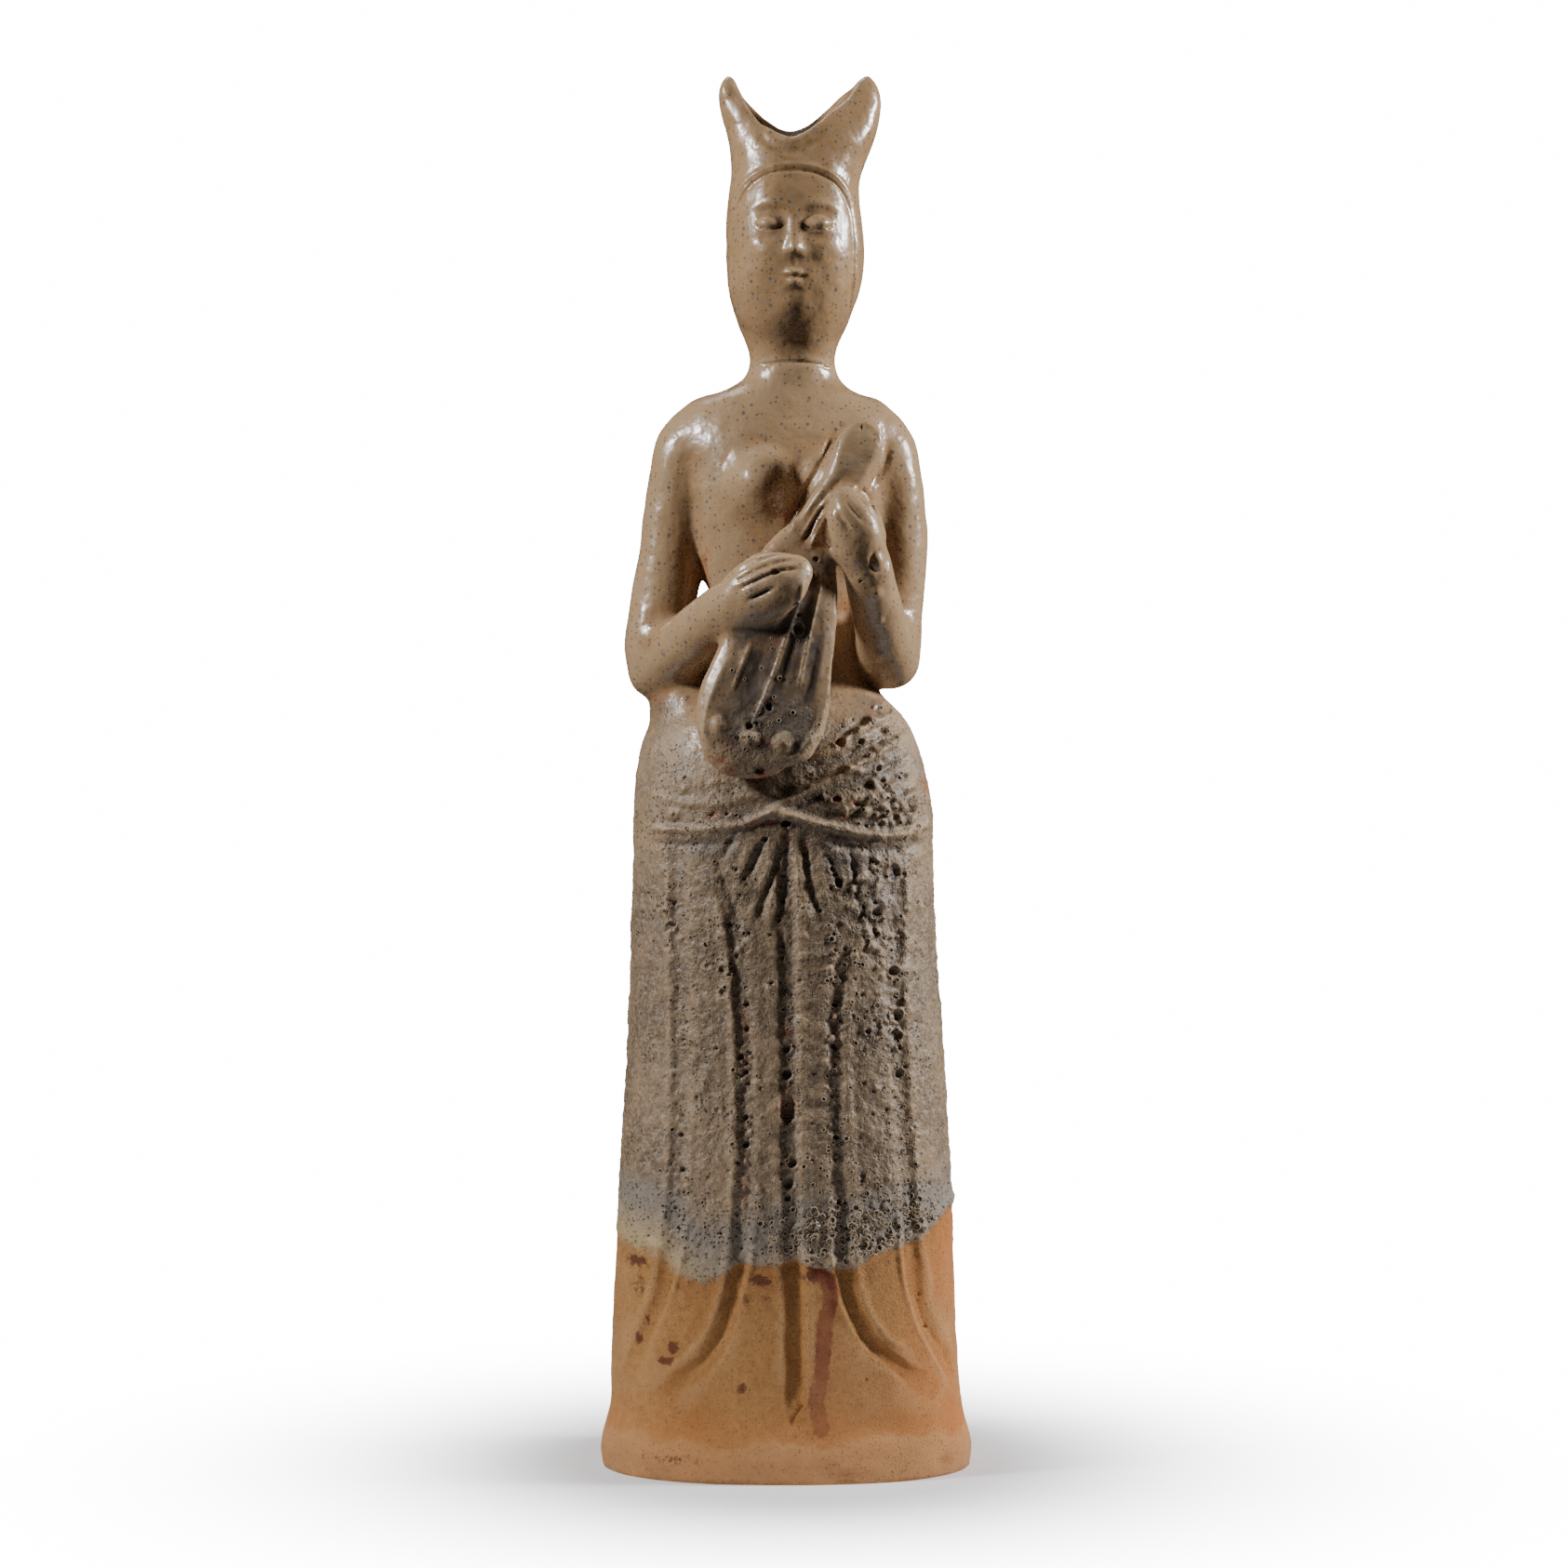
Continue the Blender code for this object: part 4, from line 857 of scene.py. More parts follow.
# The glaze stops in a ragged, rolled edge (X, Z) a little above the hem.
GLAZE_EDGE = [
    (-66, 86), (-61.8, 84), (-57.8, 81.5), (-51.9, 80.5), (-44.7, 79.5), (-41.4, 74.6),
    (-35.5, 71.5), (-29.9, 70.8), (-24, 72.7), (-19.1, 76.4), (-15.8, 77.9), (-10.9, 76.6),
    (-4.3, 76.8), (0.6, 79.6), (4.5, 77.9), (10.4, 76.2), (17, 76), (25.2, 76.8), (30.1, 79.9),
    (36.7, 82.2), (44.9, 83.5), (49.8, 87.2), (53.7, 91.1), (57, 93.7), (66, 96),
]
# Pits are (X, Z, half size X, half size Z, depth, lip height).
SKIRT_PITS = [
    (-0.7, 153.8, 2.0, 1.9, 1.4, 0.3), (-0.7, 144.6, 2.3, 2.2, 2.0, 0.3),
    (-0.4, 132.5, 3.0, 5.6, 2.0, 0.4), (1.3, 113.4, 2.0, 2.0, 1.5, 0.3),
    (-0.1, 106.1, 2.4, 2.3, 1.6, 0.3), (-0.4, 100.9, 1.4, 1.4, 1.2, 0.3),
    (-15.1, 169.3, 1.1, 1.1, 1.2, 0.3), (-14.8, 160.4, 1.1, 1.1, 1.2, 0.3),
    (-15.1, 145.3, 1.1, 1.1, 1.2, 0.3), (-15.1, 129.2, 1.2, 1.2, 1.2, 0.3),
    (-15.2, 119.6, 1.5, 1.5, 1.6, 0.3), (-18.4, 113.4, 1.0, 1.0, 1.0, 0.3),
    (16.3, 168.6, 1.0, 1.0, 1.2, 0.3), (16.0, 154.2, 1.1, 1.1, 1.2, 0.3),
    (16.7, 122.3, 1.1, 1.1, 1.2, 0.3), (17.7, 99.5, 1.1, 1.1, 1.2, 0.3),
    (-37.5, 110.1, 1.4, 1.4, 1.2, 0.4), (-38.4, 122.3, 1.1, 1.1, 1.2, 0.3),
    (-38.1, 129.2, 1.0, 1.0, 1.0, 0.3), (37.3, 215.2, 2.3, 3.3, 0.7, 0.6),
    (30.7, 201.1, 2.1, 2.1, 0.7, 0.6), (30.7, 193.9, 1.1, 1.1, 1.0, 0.4),
    (37.3, 180.1, 1.7, 1.9, 0.7, 0.5), (38.0, 164.4, 2.1, 2.3, 0.7, 0.6),
    (38.0, 157.1, 2.3, 2.4, 0.7, 0.6), (34.0, 161.7, 1.4, 1.4, 0.7, 0.5),
    (27.8, 159.4, 1.2, 1.2, 0.7, 0.4), (39.3, 144.0, 1.4, 1.7, 0.7, 0.5),
    (39.6, 152.9, 1.1, 1.1, 0.8, 0.4), (17.6, 212.0, 1.8, 2.1, 1.4, 0.5),
    (15.3, 216.9, 1.2, 1.2, 0.9, 0.5), (-1.0, 232.9, 1.9, 1.5, 2.2, 0.4),
    (-8.2, 227.4, 1.1, 1.1, 1.1, 0.3), (11.4, 202.1, 0.9, 0.9, 0.9, 0.3),
    (-23.0, 181.4, 1.7, 1.7, 0.6, 0.5), (-23.0, 173.2, 1.7, 1.7, 0.6, 0.5),
    (-17.4, 150.6, 1.4, 1.4, 0.7, 0.4), (-42.0, 196.0, 1.6, 1.6, 0.7, 0.4),
    (-46.5, 202.5, 1.2, 1.2, 0.9, 0.3), (-44.0, 207.0, 1.0, 1.0, 0.9, 0.3),
]
SASH_PITS = [
    (34.7, 272.8, 2.2, 2.3, 0.6, 0.8), (37.0, 261.9, 1.9, 2.1, 0.7, 0.7),
    (17.7, 261.0, 1.7, 1.7, 1.5, 0.3), (25.2, 261.3, 1.0, 1.0, 0.8, 0.4),
    (31.8, 252.1, 1.3, 1.3, 0.8, 0.5), (40.6, 249.1, 1.2, 1.2, 0.8, 0.4),
    (16.6, 241.4, 1.8, 1.1, 1.0, 0.2), (23.5, 239.7, 1.8, 1.1, 1.0, 0.2),
    (-26.6, 235.8, 1.8, 0.9, 0.8, 0.2), (-10.2, 251.9, 2.0, 1.3, 1.2, 0.2),
]
LUTE_PITS = [
    (3.2, 301.3, 1.9, 2.2, 0.6, 0.4), (9.7, 326.0, 1.1, 1.1, 1.0, 0.3),
    (8.4, 320.5, 1.1, 1.1, 1.0, 0.3), (3.5, 306.2, 0.9, 0.9, 0.9, 0.3),
    (-6.9, 274.3, 1.2, 1.9, 1.3, 0.3), (-13.8, 267.4, 1.5, 1.5, 1.4, 0.5),
]
HAND_PITS = [(-4.6, 321.3, 1.8, 1.0, 1.3, 0.2), (25.2, 318.4, 0.8, 0.8, 0.6, 0.2)]
# Pits, and the foremost and hindmost Y of the skin that they open in.
PITS = [
    (SKIRT_PITS, -60.0, -4.0),
    (SASH_PITS, -60.0, -4.0),
    (LUTE_PITS, -60.0, -34.0),
    (HAND_PITS, -62.0, -24.0),
]
# Healed blisters are (X, Z, half size X, half size Z, height).
DOMES = [
    (31.7, 325.1, 2.2, 3.0, 0.6),
    (30.9, 314.2, 2.8, 2.8, 0.7), (32.4, 304.6, 1.6, 1.6, 0.5), (31.7, 292.1, 2.5, 2.5, 0.7),
    (28.5, 268.5, 3.0, 2.8, 1.1), (24.2, 264.8, 2.6, 2.6, 1.0), (20.9, 252.1, 2.6, 2.4, 1.0),
    (33.4, 238.6, 2.2, 2.2, 1.0), (36.9, 238.0, 2.2, 2.2, 1.1), (40.4, 237.4, 2.2, 2.2, 1.1),
    (44.0, 239.8, 2.4, 2.4, 1.1), (43.4, 234.2, 2.2, 2.2, 1.0), (30.1, 246.2, 2.2, 2.2, 0.9),
    (35.1, 245.2, 2.0, 2.0, 0.9), (39.4, 254.6, 2.2, 2.2, 0.9), (27.4, 237.6, 2.2, 1.9, 0.8),
    (41.6, 244.4, 2.0, 2.0, 0.8), (30.4, 259.0, 2.0, 2.0, 0.8), (34.2, 256.0, 1.8, 1.8, 0.7),
    (26.4, 214.2, 2.4, 2.4, 0.7), (30.2, 209.0, 2.2, 2.2, 0.7), (33.2, 204.0, 2.0, 2.0, 0.7),
    (-26.0, 247.6, 2.4, 2.2, 0.5), (-37.0, 244.8, 2.2, 2.0, 0.5), (-40.6, 236.0, 2.0, 1.8, 0.6),
]
DOME_PATCHES = [
    # centre X, centre Z, spread X, spread Z, how many, smallest and largest half size, height
    (38.0, 240.0, 9.0, 7.0, 46, 1.3, 2.6, 1.1),
    (28.0, 262.0, 8.0, 6.0, 30, 1.3, 2.5, 0.9),
    (30.0, 205.0, 7.0, 14.0, 50, 1.2, 2.6, 0.9),
    (37.5, 170.0, 2.6, 28.0, 40, 1.2, 2.4, 0.8),
    (15.6, 160.0, 1.6, 40.0, 44, 1.1, 2.0, 0.8),
    (-15.6, 150.0, 1.8, 40.0, 44, 1.1, 2.0, 0.8),
    (-39.0, 150.0, 2.0, 40.0, 40, 1.1, 2.0, 0.7),
    (30.0, 90.0, 16.0, 5.0, 60, 1.1, 2.0, 0.6),
    (-30.0, 236.0, 12.0, 5.0, 26, 0.9, 1.8, 0.45),
    (-34.0, 205.0, 9.0, 16.0, 26, 1.0, 1.9, 0.4),
    (-6.0, 272.0, 12.0, 9.0, 16, 1.1, 2.4, 0.5),
]
DOME_SPREAD = 1.15
DOME_RISE = 1.5
PIT_SEED = 7


def open_blisters(relief):
    """Opens the pits and raises the healed domes, with small chance ones round them."""
    for pits, foremost, hindmost in PITS:
        for pit in pits:
            relief.pit(*pit, foremost, hindmost)
    for x, z, half_x, half_z, height in DOMES:
        spread = (half_x * DOME_SPREAD, half_z * DOME_SPREAD)
        relief.mound(x, z, *spread, height * DOME_RISE, -60.0, -10.0)
    chance = np.random.default_rng(PIT_SEED)
    for x, z, spread_x, spread_z, how_many, smallest, largest, height in DOME_PATCHES:
        for _ in range(how_many):
            at = (chance.normal(x, spread_x), chance.normal(z, spread_z))
            size = chance.uniform(smallest, largest)
            relief.mound(*at, size, size, height * chance.uniform(0.5, 1.2), -60.0, -10.0)


LUMPS = {
    "Peel Height": 1.0 * UNIT, "Peel Scale": 90.0, "Pebble Height": 1.7 * UNIT,
    "Pebble Scale": 250.0, "Crater Depth": 0.6 * UNIT, "Crater Scale": 270.0,
    "Crater Share": 0.4,
}


def lump_tree():
    """Lumps the glaze up and opens small craters in it, by two attributes of the clay."""
    nodes = ClayNodes("Glaze lumps", {name: "NodeSocketFloat" for name in LUMPS})

    def noise(scale, detail):
        """Soft random clouds round 0."""
        node = nodes.add("ShaderNodeTexNoise", {"Scale": nodes.given(scale), "Detail": detail})
        return nodes.math("SUBTRACT", node.outputs["Fac"], 0.5)

    cells = nodes.add("ShaderNodeTexVoronoi", {"Scale": nodes.given("Crater Scale")})
    chance = nodes.add("ShaderNodeSeparateXYZ", {"Vector": cells.outputs["Color"]})
    # A crater is a steep bowl with a raised lip, there or not and large or small by chance.
    share = nodes.product(nodes.given("Crater Share"), nodes.attribute("crateredness"))
    open_here = nodes.math("LESS_THAN", chance.outputs[0], share)
    size = nodes.math("MULTIPLY_ADD", chance.outputs[1], 0.16, 0.16)
    reach = nodes.math("DIVIDE", cells.outputs["Distance"], size)
    steep = nodes.math("MINIMUM", nodes.math("POWER", reach, 4.0), 1.0)
    bowl = nodes.math("SUBTRACT", 1.0, steep)
    off_rim = nodes.math("DIVIDE", nodes.math("SUBTRACT", reach, 1.25), 0.3)
    lip = nodes.math("POWER", 0.4, nodes.product(off_rim, off_rim))
    crater = nodes.math("SUBTRACT", nodes.product(lip, 0.3), bowl)
    crater = nodes.product(crater, open_here, nodes.given("Crater Depth"))
    peel = nodes.product(noise("Peel Scale", 1.0), nodes.given("Peel Height"))
    pebble = nodes.product(noise("Pebble Scale", 3.0), nodes.attribute("pebbled"))
    pebble = nodes.product(pebble, nodes.given("Pebble Height"))
    height = nodes.math("ADD", nodes.math("ADD", peel, pebble), crater)
    normal = nodes.add("GeometryNodeInputNormal", {})
    push = nodes.add(
        "ShaderNodeVectorMath", {"Vector": normal.outputs["Normal"], "Scale": height}, operation="SCALE"
    )
    moved = nodes.add(
        "GeometryNodeSetPosition",
        {"Geometry": nodes.given("Geometry"), "Offset": push.outputs["Vector"]}
    )
    return nodes.finished(moved.outputs["Geometry"])


def glaze_edge_at(across):
    """The height of the glaze's front edge at these values of X."""
    edge = np.array(GLAZE_EDGE, float)
    return np.interp(across, edge[:, 0], edge[:, 1])


def glaze_thickness(points, above):
    """The thickness of the glaze low on the skirt, where it ends in a roll."""
    rolled = np.exp(-((above - 2.6) / 2.2) ** 2) * np.interp(points[:, 0], [-24, -8], [0.1, 0.75])
    thick = 0.4 * np.interp(above, [-0.4, 0.8], [0, 1]) + rolled
    return thick * ((points[:, 1] < -4) * np.interp(points[:, 2], [110, 150], [1, 0]))


def roughened(points, normals, above, carved):
    """How pebbled the skin is at each point, and how thick with small craters."""
    level = points[:, 2]
    sash = np.interp(points[:, 0], [-10, 14, 44], [222, 244, 262])
    pebbled = np.interp(level - sash, [-14, 6], [1.0, 0.0])
    pebbled *= np.interp(level, [76, 84], [0.3, 1.0])
    pebbled = np.maximum(pebbled, 0.5 * np.interp(level, [262, 284], [1, 0]) * (level > 230))
    pebbled *= np.interp(level, [24, 30], [0.6, 1.0])
    frothed = np.interp(above, [0, 3, 16, 24], [0.35, 1.4, 1.1, 0])
    frothed *= np.interp(points[:, 0], [-16, 0], [0.3, 1])
    cratered = pebbled + np.clip(-carved / 1.4, 0, 1) * 0.3 + frothed
    cratered *= (above > 1.0) & (level < 285)
    return pebbled, cratered * np.interp(normals[:, 1], [0, 0.4], [1, 0.5])


def carved_figure():
    """The figure's whole skin: fused, wiped, carved, blistered and lumped."""
    mesh = wiped_over(joined_clay())
    points, normals = points_and_normals(mesh)
    relief = Relief(points, normals)
    carve_front(relief)
    above = points[:, 2] - glaze_edge_at(points[:, 0])
    # The thick glaze has run into the folds and half filled them.
    filled = np.interp(points[:, 2], [205, 232], [1, 0]) * np.interp(above, [-2, 8], [0, 1])
    relief.height *= np.where(points[:, 2] < 232, 0.8, 1.0) - 0.28 * filled
    open_blisters(relief)
    height = relief.height + carve_back(points, normals) + glaze_thickness(points, above)
    moved = (points + normals * height[:, None]) * UNIT
    mesh.vertices.foreach_set("co", moved.astype(np.float32).ravel())
    mesh.update()
    pebbled, cratered = roughened(points, normals, above, relief.height)
    set_attribute(mesh, "pebbled", pebbled)
    set_attribute(mesh, "crateredness", cratered)
    dense = placed("dense_figure", mesh)
    run_nodes(dense, lump_tree(), LUMPS)
    return finished_mesh(dense)


def part_of_figure(name, mesh, cuts, triangles):
    """The clay between some level cuts, closed, with no more than this many triangles."""
    clay = bmesh.new()
    clay.from_mesh(mesh)
    keep_outer_skin(clay)
    for level, keep_above in cuts:
        cut_level(clay, level * UNIT, keep_above)
    bmesh.ops.triangulate(clay, faces=clay.faces)
    dense = made_object("dense_" + name, clay)
    thin_out = dense.modifiers.new("Fewer faces", "DECIMATE")
    thin_out.ratio = min(1.0, triangles / len(dense.data.polygons))
    made = placed(name, finished_mesh(dense))
    made.data.shade_smooth()
    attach(made, "root")
    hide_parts("musician_figure")
    return made


figure_mesh = carved_figure()
body = part_of_figure("body", figure_mesh, [(0.0, True), (NECK_SEAM, False)], BODY_TRIANGLES)
head = part_of_figure("head", figure_mesh, [(NECK_SEAM, True)], HEAD_TRIANGLES)


# The glaze is a thin ash glaze, glossy and taupe above, thick, grey and frothy low on the skirt
# where it ran down and stopped. It pools blue-grey in hollows and burns rust where it is thin.

# Burns where the glaze is thin.
RUST_SPOTS = [
    # X, Z, half size X, half size Z, strength, foremost Y, hindmost Y
    (-30.5, 326, 2.6, 7.0, 0.8, -30, 10), (-27.0, 337, 2.0, 5.0, 0.3, -30, 10),
    (0.7, 341, 2.6, 4.0, 0.9, -34, -14), (-8.0, 331, 4.0, 3.0, 0.5, -44, -14),
    (-25.6, 255.8, 4.0, 2.2, 0.9, -50, -20), (-20.7, 252.0, 4.0, 2.0, 0.9, -50, -20),
    (-10.2, 250.4, 4.0, 2.0, 0.9, -50, -20), (17.7, 261.0, 2.2, 2.2, 1.0, -50, -20),
    (16.6, 241.4, 2.0, 1.4, 1.0, -50, -20), (23.5, 239.7, 2.2, 1.4, 1.0, -50, -20),
    (19.3, 235.1, 2.2, 1.4, 0.9, -50, -20), (-26.6, 235.8, 3.0, 1.4, 0.9, -50, -20),
    (-11.9, 232.5, 3.0, 1.6, 0.8, -50, -20), (-6.4, 233.6, 3.0, 1.6, 0.8, -50, -20),
    (-1.4, 228.0, 2.0, 3.0, 0.6, -50, -20), (49.6, 246.0, 2.4, 4.6, 0.9, -50, -6),
    (30.0, 272.4, 2.4, 1.6, 0.8, -50, -20), (20.0, 309.0, 3.0, 3.0, 0.6, -40, -10),
    (-29.0, 296.0, 4.0, 3.0, 0.5, -44, -20), (-4.0, 297.0, 2.0, 3.0, 0.3, -50, -30),
    (-6.0, 262.0, 8.0, 3.0, 0.35, -56, -30), (-22.0, 262.0, 3.0, 3.0, 0.3, -56, -30),
    (-0.6, 133.0, 3.6, 6.4, 0.7, -60, -20), (-0.7, 158.6, 2.6, 1.4, 0.9, -60, -20),
    (-15.1, 158.0, 1.4, 14.0, 0.35, -60, -20), (16.2, 160.0, 1.4, 14.0, 0.35, -60, -20),
    (17.6, 98.6, 1.6, 3.0, 0.8, -60, -20), (-15.6, 104.0, 1.6, 5.0, 0.6, -60, -20),
    (5.6, 223.0, 1.6, 5.0, 0.5, -60, -20), (-47.0, 278.0, 6.0, 4.0, 0.5, -30, 20),
]
# Pools of thick glaze, with the same values in the same order. The first two, in the pegbox's
# dish, and the one low under the chin are painted shade.
POOLS_AND_PAINTED_SHADE = [
    # The two entries on the next line are painted shade in the pegbox's dish.
    (23.0, 361.5, 7.5, 9.0, 0.8, -60, -30), (13.0, 348.0, 4.0, 6.0, 0.7, -60, -30),
    (-6.0, 276.0, 20.0, 16.0, 0.75, -60, -34), (6.0, 303.0, 11.0, 15.0, 0.7, -47, -30),
    (13.0, 322.0, 8.0, 9.0, 0.9, -44, -18), (31.0, 300.0, 5.0, 14.0, 0.5, -60, -24),
    (30.0, 276.0, 12.0, 7.0, 0.7, -50, -14), (36.0, 250.0, 14.0, 13.0, 0.6, -60, -10),
    (22.0, 221.0, 14.0, 6.0, 0.8, -60, -20), (-30.0, 224.0, 16.0, 5.0, 0.7, -60, -20),
    # The first entry on the next line is painted shade under the chin.
    (-2.0, 405.0, 14.0, 7.0, 0.25, -40, 0), (33.0, 204.0, 8.0, 16.0, 0.6, -60, -20),
    (-46.0, 274.0, 8.0, 5.0, 0.6, -40, 20), (-6.0, 441.0, 5.0, 4.0, 0.35, -40, -10),
    (10.0, 441.0, 5.0, 4.0, 0.3, -40, -10),
]
IRON_STREAK = [(9.6, 75.6), (13.4, 72.0), (14.9, 66.0), (13.6, 60.0), (12.4, 54.0), (12.0, 46.0),
               (11.2, 38.0), (9.8, 31.0), (10.4, 24.0), (11.6, 19.0)]
STAINS = [
    # X, Z, half size X, half size Z, strength
    (-9.6, 72.0, 5.6, 3.0, 1.0), (-9.0, 64.0, 5.0, 6.0, 0.45), (-8.6, 54.7, 4.0, 7.0, 0.42),
    (-16.1, 33.6, 4.0, 3.0, 0.75), (-54.0, 76.4, 5.0, 2.6, 1.0), (-52.8, 68.0, 5.0, 7.0, 0.55),
    (-41.0, 47.4, 2.8, 3.4, 1.0), (-44.0, 42.4, 4.4, 2.2, 1.0), (-53.5, 49.0, 2.0, 3.4, 0.9),
    (-50.4, 56.0, 1.6, 4.4, 0.8), (9.6, 73.6, 6.8, 3.0, 1.0), (15.0, 71.0, 3.0, 4.0, 0.9),
    (44.0, 48.0, 4.6, 3.4, 0.45), (-55.6, 24.0, 5.0, 2.0, 0.5), (-40.0, 8.0, 18.0, 2.8, 0.6),
    (-6.0, 7.0, 16.0, 2.8, 0.4), (40.0, 37.0, 3.0, 2.0, 0.5), (24.0, 9.0, 14.0, 2.4, 0.4),
]


HOLLOW_REACH = 14
HOLLOW_BLUR = 3


def hollowness(mesh, points, normals):
    """How hollow (above 0) or ridged (below 0) the skin is at each point."""
    edges = np.empty(len(mesh.edges) * 2, np.int32)
    mesh.edges.foreach_get("vertices", edges)
    start, end = edges.reshape(-1, 2).T
    count = len(points)
    links = np.bincount(start, minlength=count) + np.bincount(end, minlength=count)

    def averaged(values):
        """For each point, the mean of its neighbours' values."""
        total = np.bincount(start, values[end], count) + np.bincount(end, values[start], count)
        return total / links

    smooth = points.T.copy()
    for _ in range(HOLLOW_REACH):
        smooth = np.array([averaged(row) for row in smooth])
    hollow = ((smooth.T - points) * normals).sum(axis=1)
    for _ in range(HOLLOW_BLUR):
        hollow = averaged(hollow)
    return hollow


def spotted(points, spots):
    """The strongest of a list of soft spots at each point."""
    strength = np.zeros(len(points))
    for x, z, half_x, half_z, amount, foremost, hindmost in spots:
        reach = np.hypot((points[:, 0] - x) / half_x, (points[:, 2] - z) / half_z)
        inside = (points[:, 1] > foremost) & (points[:, 1] < hindmost)
        strength = np.maximum(strength, np.where(inside, amount * rounded(reach / 1.5), 0))
    return strength


def lay_out_glaze(mesh):
    """Works out where the glaze ends, pools, froths and burns on a part of the figure."""
    points, normals = points_and_normals(mesh)
    across = points[:, 0]
    level = points[:, 2]
    edge_height = glaze_edge_at(across)
    edge_behind = 84 + 6 * np.sin(across / 13) + across * 0.07
    behind = 1 - rounded((points[:, 1] + 12) / 26)
    edge_height = edge_height + (edge_behind - edge_height) * behind
    near, gap, _ = away_from_line(points[:, [0, 2]], IRON_STREAK, 8)
    streak = np.zeros(len(points))
    streak[near] = rounded(gap / 5.4) * (points[near, 1] < 0)
    froth_centre = np.interp(across, [-66, -42, -30, -16, 0, 25, 50, 66],
                             [98, 96, 82, 85, 92, 91, 96, 100])
    lute = np.array(LUTE_STATIONS, float)
    off_lute = np.abs(across - np.interp(level, lute[:, 2], lute[:, 0]))
    board = np.clip((np.interp(level, lute[:, 2], lute[:, 3]) - off_lute) / 3.5, 0, 1)
    board *= (points[:, 1] < -33) * np.interp(level, [254, 262, 318, 330], [0, 1, 1, 0])
    wash = np.interp(across, [-44, -34, -10], [1.0, 0.45, 0])
    wash *= np.interp(level - edge_height, [4, 17], [1, 0])
    set_attribute(mesh, "board", board)
    set_attribute(mesh, "wash", wash * rounded((points[:, 1] + 16) / 26))
    set_attribute(mesh, "above_glaze_edge", level - edge_height)
    set_attribute(mesh, "hollow", hollowness(mesh, points, normals))
    set_attribute(mesh, "rust", spotted(points, RUST_SPOTS))
    set_attribute(mesh, "pool_and_shade", spotted(points, POOLS_AND_PAINTED_SHADE))
    set_attribute(mesh, "iron_streak", streak)
    set_attribute(mesh, "stain", spotted(points, [(*stain, -60, -4) for stain in STAINS]))
    set_attribute(mesh, "froth", np.clip(1 - np.abs(level - froth_centre) / 16, 0, 1))


lay_out_glaze(body.data)
lay_out_glaze(head.data)


class Shading(NodeTree):
    """One material, with short ways to mix its colours and heights."""

    def __init__(self, name):
        self.material = bpy.data.materials.new(name)
        self.material.use_nodes = True
        super().__init__(self.material.node_tree)
        self.shader = self.tree.nodes["Principled BSDF"]
        self.place = self.tree.nodes.new("ShaderNodeTexCoord").outputs["Object"]

    def attribute(self, name):
        """The figure's own attribute of this name."""
        return self.add("ShaderNodeAttribute", {}, attribute_name=name).outputs["Fac"]

    def noise(self, scale, detail=3.0, roughness=0.5):
        """Soft random clouds from 0 to 1."""
        inputs = {"Vector": self.place, "Scale": scale, "Detail": detail, "Roughness": roughness}
        return self.add("ShaderNodeTexNoise", inputs).outputs["Fac"]

    def fray(self, scale, detail, roughness, amount):
        """Clouds round 0, that make an edge ragged when they are added to its distance."""
        return self.product(self.math("SUBTRACT", self.noise(scale, detail, roughness), 0.5), amount)

    def between(self, value, low, high, start=0.0, end=1.0):
        """The value as it rises smoothly from low to high, on a new scale."""
        node = self.add("ShaderNodeMapRange", {}, interpolation_type="SMOOTHSTEP")
        for socket, number in zip(node.inputs, (value, low, high, start, end)):
            self.put(socket, number)
        return node.outputs[0]

    def blend(self, amount, first, second):
        """The first colour, with this amount of the second over it."""
        node = self.add("ShaderNodeMix", {}, data_type="RGBA")
        self.put(node.inputs["Factor"], amount)
        for name, colour in (("A", first), ("B", second)):
            self.put(node.inputs[name], (*colour, 1) if isinstance(colour, tuple) else colour)
        return node.outputs["Result"]

    def specks(self, scale, size, share):
        """Small round specks on a share of scattered points."""
        cells = self.add("ShaderNodeTexVoronoi", {"Vector": self.place, "Scale": scale})
        chance = self.add("ShaderNodeSeparateColor", {"Color": cells.outputs["Color"]})
        chosen = self.math("LESS_THAN", chance.outputs[0], share)
        near = self.between(cells.outputs["Distance"], size * 0.55, size, 1.0, 0.0)
        return self.product(near, chosen)

    def bump(self, height, distance, strength, under=None):
        """A fine relief on top of the one under it."""
        inputs = {"Height": height, "Distance": distance, "Strength": strength}
        if under is not None:
            inputs["Normal"] = under
        return self.add("ShaderNodeBump", inputs).outputs["Normal"]


# The glossy upper glaze.
FAWN = (0.47, 0.285, 0.142)
BROWN_FAWN = (0.32, 0.185, 0.086)
CLOUDED_FAWN = (0.36, 0.24, 0.14)
RIDGE_FAWN = (0.46, 0.315, 0.185)
# The thick lower glaze, its froth, and its thin edge on the left.
WARM_GREY = (0.30, 0.200, 0.117)
DARK_GREY = (0.165, 0.112, 0.069)
PALE_GREY = (0.37, 0.275, 0.185)
FROTH_GREY = (0.215, 0.19, 0.165)
FOLD_GREY = (0.185, 0.160, 0.140)
CREAM_WASH = (0.44, 0.325, 0.175)
# Pools, with their milky clouds and the painted shade in the pegbox's dish and under the chin,
# and the soundboard's dark film.
# Brown for glaze pools and hollows, and for the painted shade in the pegbox's dish and under the chin.
POOL_AND_SHADE_BROWN = (0.130, 0.106, 0.090)
POOL_MILK = (0.33, 0.30, 0.28)
BOARD_BROWN = (0.088, 0.069, 0.056)
LAVENDER_GREY = (0.25, 0.21, 0.205)
# Iron in the glaze, flecks of blue-black, and the painted shade of pinholes.
BURNT_RUST = (0.36, 0.085, 0.022)
BROWN_MOTTLE = (0.13, 0.088, 0.055)
IRON_SPECK = (0.075, 0.062, 0.055)
BLUE_FLECK = (0.055, 0.070, 0.105)
LARGE_BLUE_FLECK = (0.070, 0.085, 0.115)
PINHOLE_SHADE = (0.040, 0.030, 0.023)
